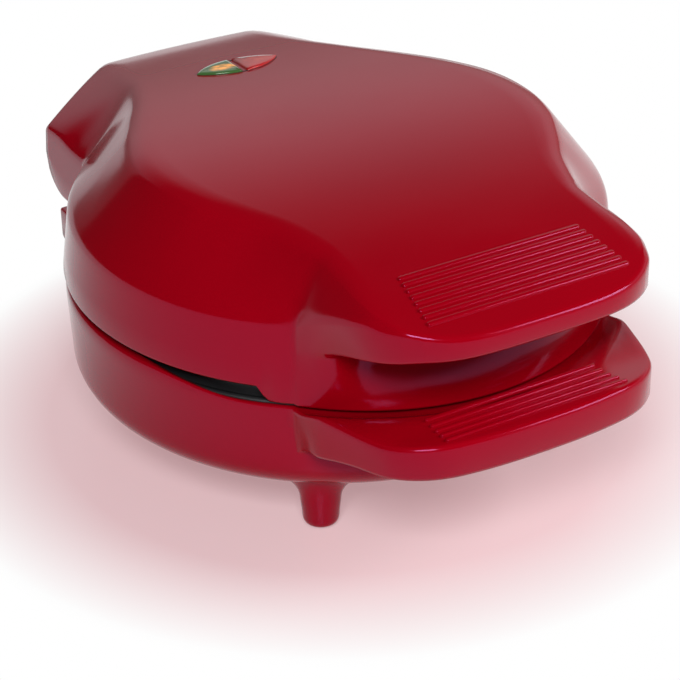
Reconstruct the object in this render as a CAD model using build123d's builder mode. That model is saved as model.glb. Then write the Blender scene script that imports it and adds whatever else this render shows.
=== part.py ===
from build123d import *
import os
from math import atan2, cos, degrees, radians, sin, sqrt

# Bubble waffle maker: a round red base and a hinged red lid, each with a finger grip at the
# front, and two cast plates with bubble cells between them. +Z is up, the grips point to -Y.
# The origin lies under the middle of the outer box, on the surface that the feet stand on.
# Distances written as "back" are measured from the upright axis of the round body, to the rear.

# Reach of the whole machine in front of and behind the body axis
lower_grip_reach = 147.0
rear_reach = 140.0
body_y = (lower_grip_reach - rear_reach) / 2

# Heights above the table
base_floor_z = 24.0
base_rim_z = 61.0
skirt_z = 62.5
lid_rim_z = 68.5
crest_z = 94.0

# Round body
crest_radius = 105.0
lid_flare = 3.5
base_rim_overhang = 1.5
base_draft = 5.9
base_corner_radius = 7.5
wall = 2.5
air = 0.3

# Lid roof: an arc from front to back, with a ruled facet down to the crest on each side
roof_rise = 29.5
roof_radius = 600.0
roof_apex = -4.0
roof_wall = 3.2
roof_inset = 1.0
facet_overrun = 1.06

# Rear wings of the lid and the hood between them
wing_half = 74.5
wing_cheek = 4.5
wing_behind_hinge = 18.0
hood_corner_half = 37.0
hood_sweep = 4.4
hood_edge_z = 94.5

# Front bulge of the lid under its grip
bulge_inset = 13.0
bulge_back = -24.0
bulge_narrowing = 11.0
skirt_back = -74.0

# Hinge
hinge_inset = 7.0
hinge_z = 83.0
cheek_radius = 19.5
knuckle_radius = 11.0
knuckle_room = 2.0
knuckle_inner = 59.5
knuckle_leg_rear = 2.0
pin_radius = 3.0
pin_air = 0.05
pin_chamfer = 0.5
pin_into_cheek = 3.0

# Rear corner blocks of the base, which carry the knuckles
corner_half = 73.5
corner_front = 62.0
corner_slope_run = 20.0
corner_behind_hinge = 8.0
corner_floor_z = 32.0
corner_drop = 13.0
undercut_half = 45.0
undercut_inset = 8.0
undercut_z = 52.5

# Grips
upper_grip_reach = 143.5
upper_grip_half = 54.0
upper_grip_root = (66.0, 82.0)
upper_grip_waist = (60.0, 104.5)
upper_lip_z = 99.0
upper_grip_slope = 0.2
lower_grip_half = 57.0
lower_grip_root = (66.0, 84.0)
lower_grip_waist = (61.0, 97.0)
lower_rise_back = -116.0
lower_lip_rise = 3.5
lower_lip_height = 9.0
lower_root_height = 12.5
grip_corner_radius = 22.0
grip_bow = 2.5
grip_root_overlap = 25.0
rib_height = 0.8
rib_width = 1.9
upper_rib_count = 8
upper_rib_pitch = 3.5
upper_rib_front = 106.5
upper_rib_half = 38.0
lower_rib_count = 5
lower_rib_pitch = 4.15
lower_rib_front = 5.7
lower_rib_half = 36.5
rib_growth = 0.55

# Feet
foot_inset = 10.6
foot_angle = 35.0
foot_tip_radius = 7.0
foot_top_radius = 10.5
foot_tip_round = 2.5
foot_top_z = 31.0
pad_radius = 4.0
pad_stand = 0.8
pad_depth = 2.4
pad_air = 0.1

# Cast plates, mirrored about the seam between them
seam_z = (base_rim_z + lid_rim_z) / 2
plate_inset = 4.5
plate_flange = 3.0
bake_margin = 10.5
bake_depth = 2.8
web = 2.6
cell_pitch = 25.0
cell_radius = 10.5
cell_wall = 1.8
post_radius = 3.6
frame_wall = 2.8
frame_flange = 2.5
frame_ledge = 5.5
frame_gap = 1.0
frame_flange_drop = 8.25
lug_width = 14.0
lug_reach = 5.0
lug_height = 5.0

# Heating parts under each plate
element_inset = 17.0
element_tube = 3.25
element_gap_angle = 60.0
terminal_radius = 1.5
terminal_reach = 3.0
terminal_hole = 4.0
shield_gap = 2.0
shield_sheet = 0.8
shield_rim = 9.0
shield_drop = 25.5
thermostat_radius = 8.0
thermostat_height = 7.0
thermostat_tab = (6.0, 0.8, 6.0)
thermostat_tab_spacing = 8.0
fuse_radius = 2.2
fuse_length = 16.0
fuse_cells_forward = 1.6  # distance in front of the body axis, in cell pitches
fuse_lead = 7.0
fuse_lead_radius = 0.6

# Screws and their posts
boss_inset = 12.5
boss_radius = 5.0
boss_angles = (30, 150, 210, 330)
boss_hole_depth = 10.0
screw_radius = 1.9
screw_air = 0.05
screw_head_radius = 3.6
screw_head_height = 2.4
socket_share = 0.6
frame_screw_length = 9.0
head_recess_radius = 4.4
plate_screw_length = 10.0
earth_place = (-45.0, 30.0)
earth_tab = (16.0, 8.0, 0.8)

# Lamps in the lid
lens_length = 37.0
lens_width = 18.5
lens_before_hinge = 17.0
lens_slant = 2.0
lens_crown = 0.8
lens_depth = 3.4
lamp_radius = 2.6
lamp_length = 13.0
lamp_spacing = 17.0
lamp_plate = 2.0
lamp_plate_drop = 13.0
lamp_plate_width = 16.0
lamp_post_half = 24.0
lamp_post_radius = 3.4
lamp_screw_radius = 1.3
lamp_screw_length = 6.0
lamp_end_round = 1.82
lamp_head_radius = 2.6
lamp_head_height = 1.56
cradle_wall = 1.6

# Wiring
block_length = 26.0
block_width = 13.0
block_height = 10.0
block_inset = 25.0
block_poles = 3
block_pitch = 8.0
wire_radius = 1.3
wire_bend = 2.2
wire_spread = 10.0
gland_radius = 6.0
gland_flange = 1.6
gland_bore = 3.6
gland_z = 36.0

lid_rim_radius = crest_radius + lid_flare
base_rim_radius = crest_radius + base_rim_overhang
base_floor_radius = base_rim_radius - base_draft
bulge_radius = crest_radius - bulge_inset
hinge_back = crest_radius - hinge_inset
knuckle_rear = hinge_back + knuckle_leg_rear
corner_rear = hinge_back + corner_behind_hinge
corner_turn = corner_rear - corner_slope_run
undercut_back = crest_radius - undercut_inset
wing_rear = hinge_back + wing_behind_hinge
hood_corner_rear = rear_reach - hood_sweep
foot_from_axis = base_floor_radius - foot_inset
frame_outer_radius = base_rim_radius - wall - frame_gap
plate_radius = frame_outer_radius - plate_inset
frame_inner_radius = plate_radius - frame_ledge
bake_radius = plate_radius - bake_margin
boss_from_axis = plate_radius - boss_inset
lug_inner_radius = boss_from_axis - lug_reach
shield_radius = boss_from_axis - boss_radius - shield_gap
element_radius = shield_radius - element_inset
lens_back = hinge_back - lens_before_hinge
block_back = undercut_back - block_inset
cell_rings = int((bake_radius - cell_radius - cell_wall) / cell_pitch)
cell_mouth_z = seam_z - air / 2 - bake_depth
cell_bottom_z = cell_mouth_z - cell_radius - cell_wall
web_z = cell_mouth_z - web
shield_z = seam_z - shield_drop
element_z = cell_bottom_z - air - element_tube
fuse_back = -fuse_cells_forward * cell_pitch
frame_flange_z = seam_z - frame_flange_drop
frame_top_z = seam_z - air - pin_air
lug_top_z = web_z - 2 * air
lug_low_z = lug_top_z - lug_height
upper_lug_top = 2 * seam_z - lug_low_z
cheek_z = lid_rim_z + cheek_radius
cheek_inner = wing_half - wing_cheek
knuckle_front = hinge_back - knuckle_radius
knuckle_outer = cheek_inner - air
lid_slope = degrees(atan2(lid_rim_radius - crest_radius, crest_z - lid_rim_z))
body_axis = Axis((0, body_y, 0), (0, 0, 1))

os.makedirs("parts", exist_ok=True)


def level(z):
    """Horizontal plane at height z, with the body axis as its origin."""
    return Plane(origin=(0, body_y, z), x_dir=(1, 0, 0), z_dir=(0, 0, 1))


def section(back):
    """Upright plane across the machine; its own x and y are the width and the height."""
    return Plane(origin=(0, body_y + back, 0), x_dir=(1, 0, 0), z_dir=(0, -1, 0))


def side(x):
    """Upright plane along the machine; its own x and y are the distance back and the height."""
    return Plane(origin=(x, body_y, 0), x_dir=(0, 1, 0), z_dir=(1, 0, 0))


def around(angle):
    """Upright plane through the body axis, turned so that its own x points at an angle."""
    out = (cos(radians(angle)), sin(radians(angle)), 0)
    return Plane(origin=(0, body_y, 0), x_dir=out, z_dir=(out[1], -out[0], 0))


def polar(radius, angle):
    """Plan position at a radius and an angle from +X."""
    return (radius * cos(radians(angle)), radius * sin(radians(angle)))


def roof_height(back):
    """Height of the middle of the roof."""
    return crest_z + roof_rise - roof_radius + sqrt(roof_radius**2 - (back - roof_apex) ** 2)


def round_half(back):
    """Half-width of the crest circle."""
    return sqrt(crest_radius**2 - back**2)


lamp_plate_z = roof_height(lens_back) - lamp_plate_drop
boss_places = [polar(boss_from_axis, angle) for angle in boss_angles]
plate_posts = [polar(2 * cell_pitch / sqrt(3), angle) for angle in (30, 150, 270)]
lamp_posts = [(-lamp_post_half, lens_back), (lamp_post_half, lens_back)]
terminal_angles = (90 - element_gap_angle / 2, 90 + element_gap_angle / 2)
terminal_places = [polar(element_radius, angle) for angle in terminal_angles]

# Roof outline: distance back, half-width of the crease, half-width of the crest, and height
# of the crest above crest_z
roof_outline = (
    (-160, 54.0, 58.0, 5.0),
    (-125, 55.0, 58.5, 12.0),
    (-105, 56.0, 60.0, 8.5),
    (-84, 56.5, round_half(-84) + 1, 1.0),
    (-73, 58.0, round_half(-73), 0.0),
    (-60, 61.5, round_half(-60), 0.0),
    (-45, 70.0, round_half(-45), 0.0),
    (-30, 76.5, round_half(-30), 0.0),
    (-10, 78.0, round_half(-10), 0.0),
    (12, 75.0, round_half(12), 0.0),
    (33, 66.0, round_half(33), 0.0),
    (50, 56.5, round_half(50), 0.0),
    (66, 49.5, round_half(66), 0.0),
    (74, 46.0, wing_half, -0.5),
    (83, 43.0, wing_half, -3.0),
    (96, 39.0, wing_half, 4.0),
    (116, 37.5, wing_half, 1.0),
    (146, 36.5, wing_half, -8.0),
)


def under_roof(drop, inset):
    """Everything under the roof: the outer face, or an inner one lower and narrower."""
    wide = 2 * crest_radius
    with BuildPart() as block:
        for back, crease, crest, rise in roof_outline:
            top = roof_height(back) - drop
            near = crease - inset
            edge = near + (crest - crease) * facet_overrun
            ledge = top - (top - crest_z - rise + drop) * facet_overrun
            with BuildSketch(section(back)):
                with BuildLine():
                    Polyline(
                        (-wide, 0),
                        (-wide, ledge),
                        (-edge, ledge),
                        (-near, top),
                        (near, top),
                        (edge, ledge),
                        (wide, ledge),
                        (wide, 0),
                        close=True,
                    )
                make_face()
        loft(ruled=True)
    return block.part


def roof_skin(low, high):
    """Layer between two offsets from the arc of the roof."""
    with BuildPart() as skin:
        with BuildSketch(side(0)):
            with Locations((roof_apex, crest_z + roof_rise - roof_radius)):
                Circle(roof_radius + high)
                Circle(roof_radius + low, mode=Mode.SUBTRACT)
            with Locations((roof_apex, crest_z)):
                Rectangle(4 * crest_radius, 4 * roof_rise, mode=Mode.INTERSECT)
        extrude(amount=crest_radius, both=True)
    return skin.part


def grip_plan(reach, half, root, waist, inset):
    """Plan of a grip: its sides run from the round body to two round front corners."""
    with BuildSketch() as plan:
        with BuildLine():
            sides = Polyline(
                (-half + inset, -reach + grip_bow + inset),
                (-waist[0] + inset, -waist[1]),
                (-root[0] + inset, -root[1]),
                (-root[0] + inset, -root[1] + grip_root_overlap),
                (root[0] - inset, -root[1] + grip_root_overlap),
                (root[0] - inset, -root[1]),
                (waist[0] - inset, -waist[1]),
                (half - inset, -reach + grip_bow + inset),
            )
            ThreePointArc(sides @ 1, (0, -reach + inset), sides @ 0)
        make_face()
        fillet(plan.vertices().group_by(Axis.Y)[0], grip_corner_radius - inset)
    return plan.sketch


def grip_solid(plan, profile):
    """The stretch of a grip's plan that lies inside its side profile."""
    with BuildPart() as grip:
        with BuildSketch(level(0)):
            add(plan)
        extrude(amount=crest_z + roof_rise)
        with BuildSketch(side(0)):
            with BuildLine():
                Polyline(*profile, close=True)
            make_face()
        extrude(amount=crest_radius, both=True, mode=Mode.INTERSECT)
    return grip.part


def upper_grip(inset):
    """Grip of the lid. Its underside falls from the lip back to the body."""
    plan = grip_plan(upper_grip_reach, upper_grip_half, upper_grip_root, upper_grip_waist, inset)
    front = -upper_grip_reach
    back = -upper_grip_root[1] + grip_root_overlap
    top = crest_z + roof_rise
    lip = upper_lip_z + inset
    root = lip - (back - front) * upper_grip_slope
    return grip_solid(plan, ((front, lip), (front, top), (back, top), (back, root)))


def lower_grip(inset):
    """Grip of the base: flat at the body, then rising to the lip."""
    plan = grip_plan(lower_grip_reach, lower_grip_half, lower_grip_root, lower_grip_waist, inset)
    front = -lower_grip_reach
    back = -lower_grip_root[1] + grip_root_overlap
    lip = base_rim_z + lower_lip_rise
    profile = (
        (front, lip - inset),
        (lower_rise_back, base_rim_z - inset),
        (back, base_rim_z - inset),
        (back, base_rim_z - lower_root_height + inset),
        (front, lip - lower_lip_height + inset),
    )
    return grip_solid(plan, profile)


def rib_rows(count, pitch, front, half):
    """Places and half-lengths of the raised ribs of a grip, which grow towards the lip."""
    return [(-front - row * pitch, half + row * rib_growth) for row in range(count)]


def drum(radius, low, high, slope):
    """Round wall of the lid, widest at its low edge."""
    with BuildPart() as round_wall:
        with BuildSketch(level(low)):
            Circle(radius)
        extrude(amount=high - low, taper=slope)
    return round_wall.part


def bulge(inset):
    """Front of the lid under its grip, which leans out to the skirt."""
    with BuildPart() as front:
        with BuildSketch(level(skirt_z)):
            with Locations((0, bulge_back)):
                Circle(bulge_radius - inset)
        extrude(amount=crest_z - skirt_z, taper=degrees(atan2(bulge_narrowing, crest_z - skirt_z)))
    return front.part


def rear_plan(inset, cheek):
    """Plan of the wings and of the hood between them."""
    half = wing_half - cheek
    with BuildSketch() as plan:
        with BuildLine():
            rim = Polyline(
                (hood_corner_half, hood_corner_rear - inset),
                (half, wing_rear - inset),
                (half, 0),
                (-half, 0),
                (-half, wing_rear - inset),
                (-hood_corner_half, hood_corner_rear - inset),
            )
            ThreePointArc(rim @ 1, (0, rear_reach - inset), rim @ 0)
        make_face()
    return plan.sketch


def almond(inset):
    """Plan of the lamp window: two arcs that meet in a point at each side."""
    arc_radius = (lens_length**2 + lens_width**2) / (4 * lens_width)
    shift = arc_radius - lens_width / 2
    with BuildSketch() as plan:
        with Locations((0, lens_back + shift)):
            Circle(arc_radius - inset)
        with Locations((0, lens_back - shift)):
            Circle(arc_radius - inset, mode=Mode.INTERSECT)
    return plan.sketch


# Outer form of the wings: the low rear corner is round about the hinge, and the hood behind
# it ends higher, so that the lid swings back over the base
with BuildPart() as wings:
    with BuildSketch(level(lid_rim_z)):
        add(rear_plan(0, 0))
    extrude(amount=crest_z + roof_rise - lid_rim_z)
    with BuildSketch(side(0)):
        with BuildLine():
            Line((0, lid_rim_z), (hinge_back, lid_rim_z))
            CenterArc((hinge_back, cheek_z), cheek_radius, -90, 90)
            Polyline(
                (hinge_back + cheek_radius, cheek_z),
                (hinge_back + cheek_radius, hood_edge_z),
                (rear_reach + wall, hood_edge_z),
                (rear_reach + wall, crest_z + roof_rise),
                (0, crest_z + roof_rise),
                (0, lid_rim_z),
            )
        make_face()
    extrude(amount=wing_half + wall, both=True, mode=Mode.INTERSECT)

# Space inside the wings and the hood, behind the round wall
with BuildPart() as wing_space:
    with BuildSketch(level(skirt_z)):
        add(rear_plan(wall, wing_cheek))
    extrude(amount=crest_z + roof_rise - skirt_z)
    with BuildSketch(level(skirt_z)):
        Circle(crest_radius)
    extrude(amount=crest_z + roof_rise - skirt_z, mode=Mode.SUBTRACT)
    add(drum(lid_rim_radius, lid_rim_z, crest_z, lid_slope), mode=Mode.SUBTRACT)

with BuildPart() as lid_space:
    add(drum(lid_rim_radius - wall, lid_rim_z, crest_z, lid_slope))
    with BuildSketch(level(crest_z)):
        Circle(crest_radius - wall)
    extrude(amount=roof_rise)
    add(bulge(wall))
    add(upper_grip(wall))
    add(wing_space.part)
    add(under_roof(roof_wall, roof_inset), mode=Mode.INTERSECT)

# Room for the knuckles of the base to turn in
with BuildPart() as knuckle_space:
    for hand in (-1, 1):
        with BuildSketch(side(hand * (knuckle_inner - air + cheek_inner) / 2)):
            with Locations((hinge_back, hinge_z)):
                Circle(knuckle_radius + knuckle_room)
                Rectangle(
                    2 * (knuckle_radius + knuckle_room),
                    hinge_z - skirt_z,
                    align=(Align.CENTER, Align.MAX),
                )
            with Locations((hinge_back, skirt_z)):
                Rectangle(rear_reach - hinge_back, hood_edge_z - skirt_z, align=(Align.MIN, Align.MIN))
        extrude(amount=(cheek_inner - knuckle_inner + air) / 2, both=True)

with BuildPart() as lid_posts:
    with BuildSketch(level(upper_lug_top + air)):
        with Locations(*boss_places):
            Circle(boss_radius)
    extrude(amount=crest_z)
    with BuildSketch(level(lamp_plate_z + lamp_plate + air)):
        with Locations(*lamp_posts):
            Circle(lamp_post_radius)
    extrude(amount=crest_z)
    add(under_roof(roof_wall / 2, roof_inset), mode=Mode.INTERSECT)

with BuildPart() as upper_ribs:
    with BuildSketch(level(crest_z)):
        for back, half in rib_rows(upper_rib_count, upper_rib_pitch, upper_rib_front, upper_rib_half):
            with Locations((0, back)):
                SlotOverall(2 * half, rib_width)
    extrude(amount=2 * roof_rise)
    add(roof_skin(-rib_height, rib_height), mode=Mode.INTERSECT)

with BuildPart() as lid_shell:
    add(bulge(0))
    with BuildSketch(level(skirt_z)):
        with Locations((0, skirt_back)):
            Rectangle(4 * crest_radius, 2 * crest_radius, align=(Align.CENTER, Align.MIN))
    extrude(amount=lid_rim_z - skirt_z, mode=Mode.SUBTRACT)
    add(drum(lid_rim_radius, lid_rim_z, crest_z, lid_slope))
    with BuildSketch(level(crest_z)):
        Circle(crest_radius)
    extrude(amount=roof_rise)
    add(upper_grip(0))
    add(wings.part)
    add(under_roof(0, 0), mode=Mode.INTERSECT)
    add(lid_space.part, mode=Mode.SUBTRACT)
    add(knuckle_space.part, mode=Mode.SUBTRACT)
    add(lid_posts.part)
    add(upper_ribs.part)
    with BuildSketch(level(crest_z)):
        add(almond(0))
    extrude(amount=2 * roof_rise, mode=Mode.SUBTRACT)
    with BuildSketch(side(0)):
        with Locations((hinge_back, hinge_z)):
            Circle(pin_radius + pin_air)
    extrude(amount=cheek_inner + pin_into_cheek + air, both=True, mode=Mode.SUBTRACT)
    with BuildSketch(level(upper_lug_top)):
        with Locations(*boss_places):
            Circle(screw_radius + screw_air)
    extrude(amount=boss_hole_depth, mode=Mode.SUBTRACT)
    with BuildSketch(level(lamp_plate_z)):
        with Locations(*lamp_posts):
            Circle(lamp_screw_radius + screw_air)
    extrude(amount=lamp_plate + lamp_screw_length, mode=Mode.SUBTRACT)
lid_shell.part.label = "lid_shell"


def lens(hand):
    """Half of the lamp window: -1 is the left half, 1 the right one."""
    reach = hand * lens_length
    cut = hand * air / 2
    with BuildPart() as half:
        with BuildSketch(level(crest_z)):
            add(almond(air / 2))
            with BuildLine():
                Polyline(
                    (cut - lens_slant / 2, lens_back - lens_width),
                    (reach, lens_back - lens_width),
                    (reach, lens_back + lens_width),
                    (cut + lens_slant / 2, lens_back + lens_width),
                    close=True,
                )
            make_face(mode=Mode.INTERSECT)
        extrude(amount=2 * roof_rise)
        add(roof_skin(lens_crown - lens_depth, lens_crown), mode=Mode.INTERSECT)
    return half.part


with BuildPart() as green_lens:
    add(lens(-1))
green_lens.part.label = "green_lens"

with BuildPart() as red_lens:
    add(lens(1))
red_lens.part.label = "red_lens"

# Bracket under the window, with a cradle for each lamp
with BuildPart() as lamp_holder:
    with BuildSketch(level(lamp_plate_z)):
        with Locations((0, lens_back)):
            Rectangle(2 * (lamp_post_half + lamp_post_radius), lamp_plate_width)
        with Locations(*lamp_posts):
            Circle(lamp_screw_radius + screw_air, mode=Mode.SUBTRACT)
    extrude(amount=lamp_plate)
    with BuildSketch(level(lamp_plate_z + lamp_plate)):
        with Locations((0, lens_back)):
            with GridLocations(lamp_spacing, 2 * (lamp_radius + air) + cradle_wall, 2, 2):
                Rectangle(lamp_length - 2 * cradle_wall, cradle_wall)
    extrude(amount=2 * lamp_radius)
lamp_holder.part.label = "lamp_holder"


def lamp(x):
    """Neon lamp lying along X in its cradle."""
    axis_z = lamp_plate_z + lamp_plate + air + lamp_radius
    with BuildPart() as bulb:
        with BuildSketch(side(x)):
            with Locations((lens_back, axis_z)):
                Circle(lamp_radius)
        extrude(amount=lamp_length / 2, both=True)
        fillet(bulb.edges().filter_by(GeomType.CIRCLE), lamp_end_round)
    return bulb.part


with BuildPart() as ready_lamp:
    add(lamp(-lamp_spacing / 2))
ready_lamp.part.label = "ready_lamp"

with BuildPart() as power_lamp:
    add(lamp(lamp_spacing / 2))
power_lamp.part.label = "power_lamp"


def screws(places, head_z, shank, radius, head_radius, head_height):
    """Like screws pointing up, with a hexagon socket in each head."""
    with BuildPart() as group:
        with BuildSketch(level(head_z - head_height)):
            with Locations(*places):
                Circle(head_radius)
        extrude(amount=head_height)
        with BuildSketch(level(head_z)):
            with Locations(*places):
                Circle(radius)
        extrude(amount=shank)
        with BuildSketch(level(head_z - head_height)):
            with Locations(*places):
                RegularPolygon(radius, 6)
        extrude(amount=head_height * socket_share, mode=Mode.SUBTRACT)
    return group.part


with BuildPart() as lamp_screws:
    add(
        screws(
            lamp_posts,
            lamp_plate_z,
            lamp_plate + lamp_screw_length - 2 * air,
            lamp_screw_radius,
            lamp_head_radius,
            lamp_head_height,
        )
    )
lamp_screws.part.label = "lamp_screws"


def bowl_profile(inset):
    """Half section of the bowl, the outer one when inset is 0."""
    with BuildSketch() as half:
        with BuildLine():
            Polyline(
                (0, base_floor_z + inset),
                (base_floor_radius - inset, base_floor_z + inset),
                (base_rim_radius - inset, base_rim_z),
                (0, base_rim_z),
                close=True,
            )
        make_face()
        fillet(half.vertices().group_by(Axis.Y)[0].sort_by(Axis.X)[-1], base_corner_radius - inset)
    return half.sketch


def bowl(inset):
    """Round bowl of the base, cut back low at the rear for the hood to swing into."""
    with BuildPart() as body:
        with BuildSketch(section(0)):
            add(bowl_profile(inset))
        revolve(axis=body_axis)
        with BuildSketch(level(0)):
            with Locations((0, undercut_back - inset)):
                Rectangle(2 * undercut_half, crest_radius, align=(Align.CENTER, Align.MIN))
        extrude(amount=undercut_z + inset, mode=Mode.SUBTRACT)
    return body.part


def rise_plane():
    """Plane of the rising stretch of the lower grip, with its origin at the foot of the rise."""
    run = lower_grip_reach + lower_rise_back
    return Plane(
        origin=(0, body_y + lower_rise_back, base_rim_z),
        x_dir=(1, 0, 0),
        z_dir=(0, lower_lip_rise, run),
    )


foot_places = [
    polar(foot_from_axis, turn + hand * foot_angle) for turn in (-90, 90) for hand in (-1, 1)
]

with BuildPart() as foot:
    with BuildSketch(section(0)) as foot_profile:
        with BuildLine():
            Polyline(
                (0, pad_stand),
                (foot_tip_radius, pad_stand),
                (foot_top_radius, foot_top_z),
                (0, foot_top_z),
                close=True,
            )
        make_face()
        fillet(foot_profile.vertices().group_by(Axis.Y)[0].sort_by(Axis.X)[-1], foot_tip_round)
    revolve(axis=body_axis)

with BuildPart() as lower_shell:
    add(bowl(0))
    add(lower_grip(0))
    with Locations(*[(x, y, 0) for x, y in foot_places]):
        add(foot.part)
    for hand in (-1, 1):
        with BuildSketch(side(hand * (knuckle_inner + corner_half) / 2)):
            with BuildLine():
                Polyline(
                    (corner_front, corner_floor_z),
                    (corner_turn, corner_floor_z),
                    (corner_rear, base_rim_z - corner_drop),
                    (corner_rear, base_rim_z),
                    (corner_front, base_rim_z),
                    close=True,
                )
            make_face()
        extrude(amount=(corner_half - knuckle_inner) / 2, both=True)
        with BuildSketch(side(hand * (knuckle_inner + knuckle_outer) / 2)):
            with Locations((hinge_back, hinge_z)):
                Circle(knuckle_radius)
            with Locations(((knuckle_front + knuckle_rear) / 2, base_rim_z - corner_drop)):
                Rectangle(
                    knuckle_rear - knuckle_front,
                    hinge_z - base_rim_z + corner_drop,
                    align=(Align.CENTER, Align.MIN),
                )
        extrude(amount=(knuckle_outer - knuckle_inner) / 2, both=True)
    add(bowl(wall), mode=Mode.SUBTRACT)
    add(lower_grip(wall), mode=Mode.SUBTRACT)
    with BuildSketch(level(base_floor_z)):
        with Locations(*boss_places):
            Circle(boss_radius)
    extrude(amount=lug_low_z - air - base_floor_z)
    with BuildSketch(level(base_floor_z)):
        with Locations(*boss_places):
            Circle(screw_radius + air)
    extrude(amount=lug_low_z - base_floor_z, mode=Mode.SUBTRACT)
    with BuildSketch(level(base_floor_z)):
        with Locations(*boss_places):
            Circle(head_recess_radius)
    extrude(amount=lug_top_z - frame_screw_length - base_floor_z, mode=Mode.SUBTRACT)
    with BuildSketch(level(0)):
        with Locations(*foot_places):
            Circle(pad_radius + pad_air)
    extrude(amount=pad_stand + pad_depth + pad_air, mode=Mode.SUBTRACT)
    with BuildSketch(side(0)):
        with Locations((hinge_back, hinge_z)):
            Circle(pin_radius + pin_air)
    extrude(amount=knuckle_outer, both=True, mode=Mode.SUBTRACT)
    with BuildSketch(section(undercut_back)):
        with Locations((0, gland_z)):
            Circle(gland_radius)
    extrude(amount=wall, mode=Mode.SUBTRACT)
    with BuildSketch(rise_plane()):
        for back, half in rib_rows(lower_rib_count, lower_rib_pitch, lower_rib_front, lower_rib_half):
            with Locations((0, back)):
                SlotOverall(2 * half, rib_width)
    extrude(amount=rib_height)
lower_shell.part.label = "lower_shell"

with BuildPart() as foot_pads:
    with BuildSketch(level(0)):
        with Locations(*foot_places):
            Circle(pad_radius)
    extrude(amount=pad_stand + pad_depth)
foot_pads.part.label = "foot_pads"

# Rubber bush that lines the cord hole in the rear of the base
with BuildPart() as cord_bush:
    with BuildSketch(section(undercut_back)):
        with Locations((0, gland_z)):
            Circle(gland_radius - pad_air)
    extrude(amount=wall + gland_flange + air)
    with BuildSketch(section(undercut_back - wall - air)):
        with Locations((0, gland_z)):
            Circle(gland_radius + gland_flange)
    extrude(amount=gland_flange)
    with BuildSketch(section(undercut_back)):
        with Locations((0, gland_z)):
            Circle(gland_bore)
    extrude(amount=2 * wall + gland_flange, mode=Mode.SUBTRACT)
cord_bush.part.label = "cord_bush"


def hinge_pin(hand):
    """Steel pin through a knuckle of the base and into a cheek of the lid."""
    inner = knuckle_inner + air
    outer = cheek_inner + pin_into_cheek
    with BuildPart() as pin:
        with BuildSketch(side(hand * (inner + outer) / 2)):
            with Locations((hinge_back, hinge_z)):
                Circle(pin_radius)
        extrude(amount=(outer - inner) / 2, both=True)
        chamfer(pin.edges().filter_by(GeomType.CIRCLE), pin_chamfer)
    return pin.part


with BuildPart() as left_hinge_pin:
    add(hinge_pin(-1))
left_hinge_pin.part.label = "left_hinge_pin"

with BuildPart() as right_hinge_pin:
    add(hinge_pin(1))
right_hinge_pin.part.label = "right_hinge_pin"


def carrier():
    """Black ring that carries the lower plate, with four lugs for its screws."""
    ledge_z = seam_z - air / 2 - plate_flange - air
    inner_wall = plate_radius + 2 * air
    with BuildPart() as ring:
        with BuildSketch(section(0)):
            with BuildLine():
                Polyline(
                    (frame_inner_radius, frame_flange_z),
                    (frame_inner_radius, ledge_z),
                    (inner_wall, ledge_z),
                    (inner_wall, frame_top_z),
                    (inner_wall + frame_wall, frame_top_z),
                    (inner_wall + frame_wall, frame_flange_z + frame_flange),
                    (frame_outer_radius, frame_flange_z + frame_flange),
                    (frame_outer_radius, frame_flange_z),
                    close=True,
                )
            make_face()
        revolve(axis=body_axis)
        with BuildSketch(level(lug_low_z)):
            for angle in boss_angles:
                with Locations(Location((0, 0, 0), (0, 0, angle))):
                    with Locations(((lug_inner_radius + frame_inner_radius + air) / 2, 0)):
                        Rectangle(frame_inner_radius + air - lug_inner_radius, lug_width)
        extrude(amount=lug_height)
    return ring.part


with BuildPart() as lower_frame:
    add(carrier())
    with BuildSketch(level(lug_low_z)):
        with Locations(*boss_places):
            Circle(screw_radius + screw_air)
    extrude(amount=lug_height, mode=Mode.SUBTRACT)
lower_frame.part.label = "lower_frame"

seam = Plane.XY.offset(seam_z)

with BuildPart() as upper_frame:
    add(carrier().mirror(seam))
    with BuildSketch(level(upper_lug_top)):
        with Locations(*boss_places):
            Circle(screw_radius + screw_air)
    extrude(amount=-lug_height, mode=Mode.SUBTRACT)
    with BuildSketch(level(upper_lug_top - lug_height)):
        with Locations(*boss_places):
            Circle(head_recess_radius)
    extrude(amount=screw_head_height + air, mode=Mode.SUBTRACT)
upper_frame.part.label = "upper_frame"

with BuildPart() as base_frame_screws:
    add(
        screws(
            boss_places,
            lug_top_z - frame_screw_length,
            frame_screw_length - 2 * air,
            screw_radius,
            screw_head_radius,
            screw_head_height,
        )
    )
base_frame_screws.part.label = "base_frame_screws"

with BuildPart() as lid_frame_screws:
    add(
        screws(
            boss_places,
            upper_lug_top - lug_height + screw_head_height + air,
            frame_screw_length,
            screw_radius,
            screw_head_radius,
            screw_head_height,
        )
    )
lid_frame_screws.part.label = "lid_frame_screws"

# Bubble cells in a hexagon of rows
cells = [
    (cell_pitch * (i + j / 2), cell_pitch * j * sqrt(3) / 2)
    for i in range(-cell_rings, cell_rings + 1)
    for j in range(-cell_rings, cell_rings + 1)
    if abs(i + j) <= cell_rings
]

with BuildPart() as cell_cup:
    with BuildSketch(section(0)):
        with BuildLine():
            cup = CenterArc((0, cell_mouth_z), cell_radius + cell_wall, -90, 90)
            Polyline(cup @ 1, (0, cell_mouth_z), cup @ 0)
        make_face()
    revolve(axis=body_axis)

with BuildPart() as cell_hollow:
    with BuildSketch(section(0)):
        with BuildLine():
            bowl_arc = CenterArc((0, cell_mouth_z), cell_radius, -90, 90)
            Polyline(bowl_arc @ 1, (cell_radius, seam_z), (0, seam_z), bowl_arc @ 0)
        make_face()
    revolve(axis=body_axis)

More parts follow.
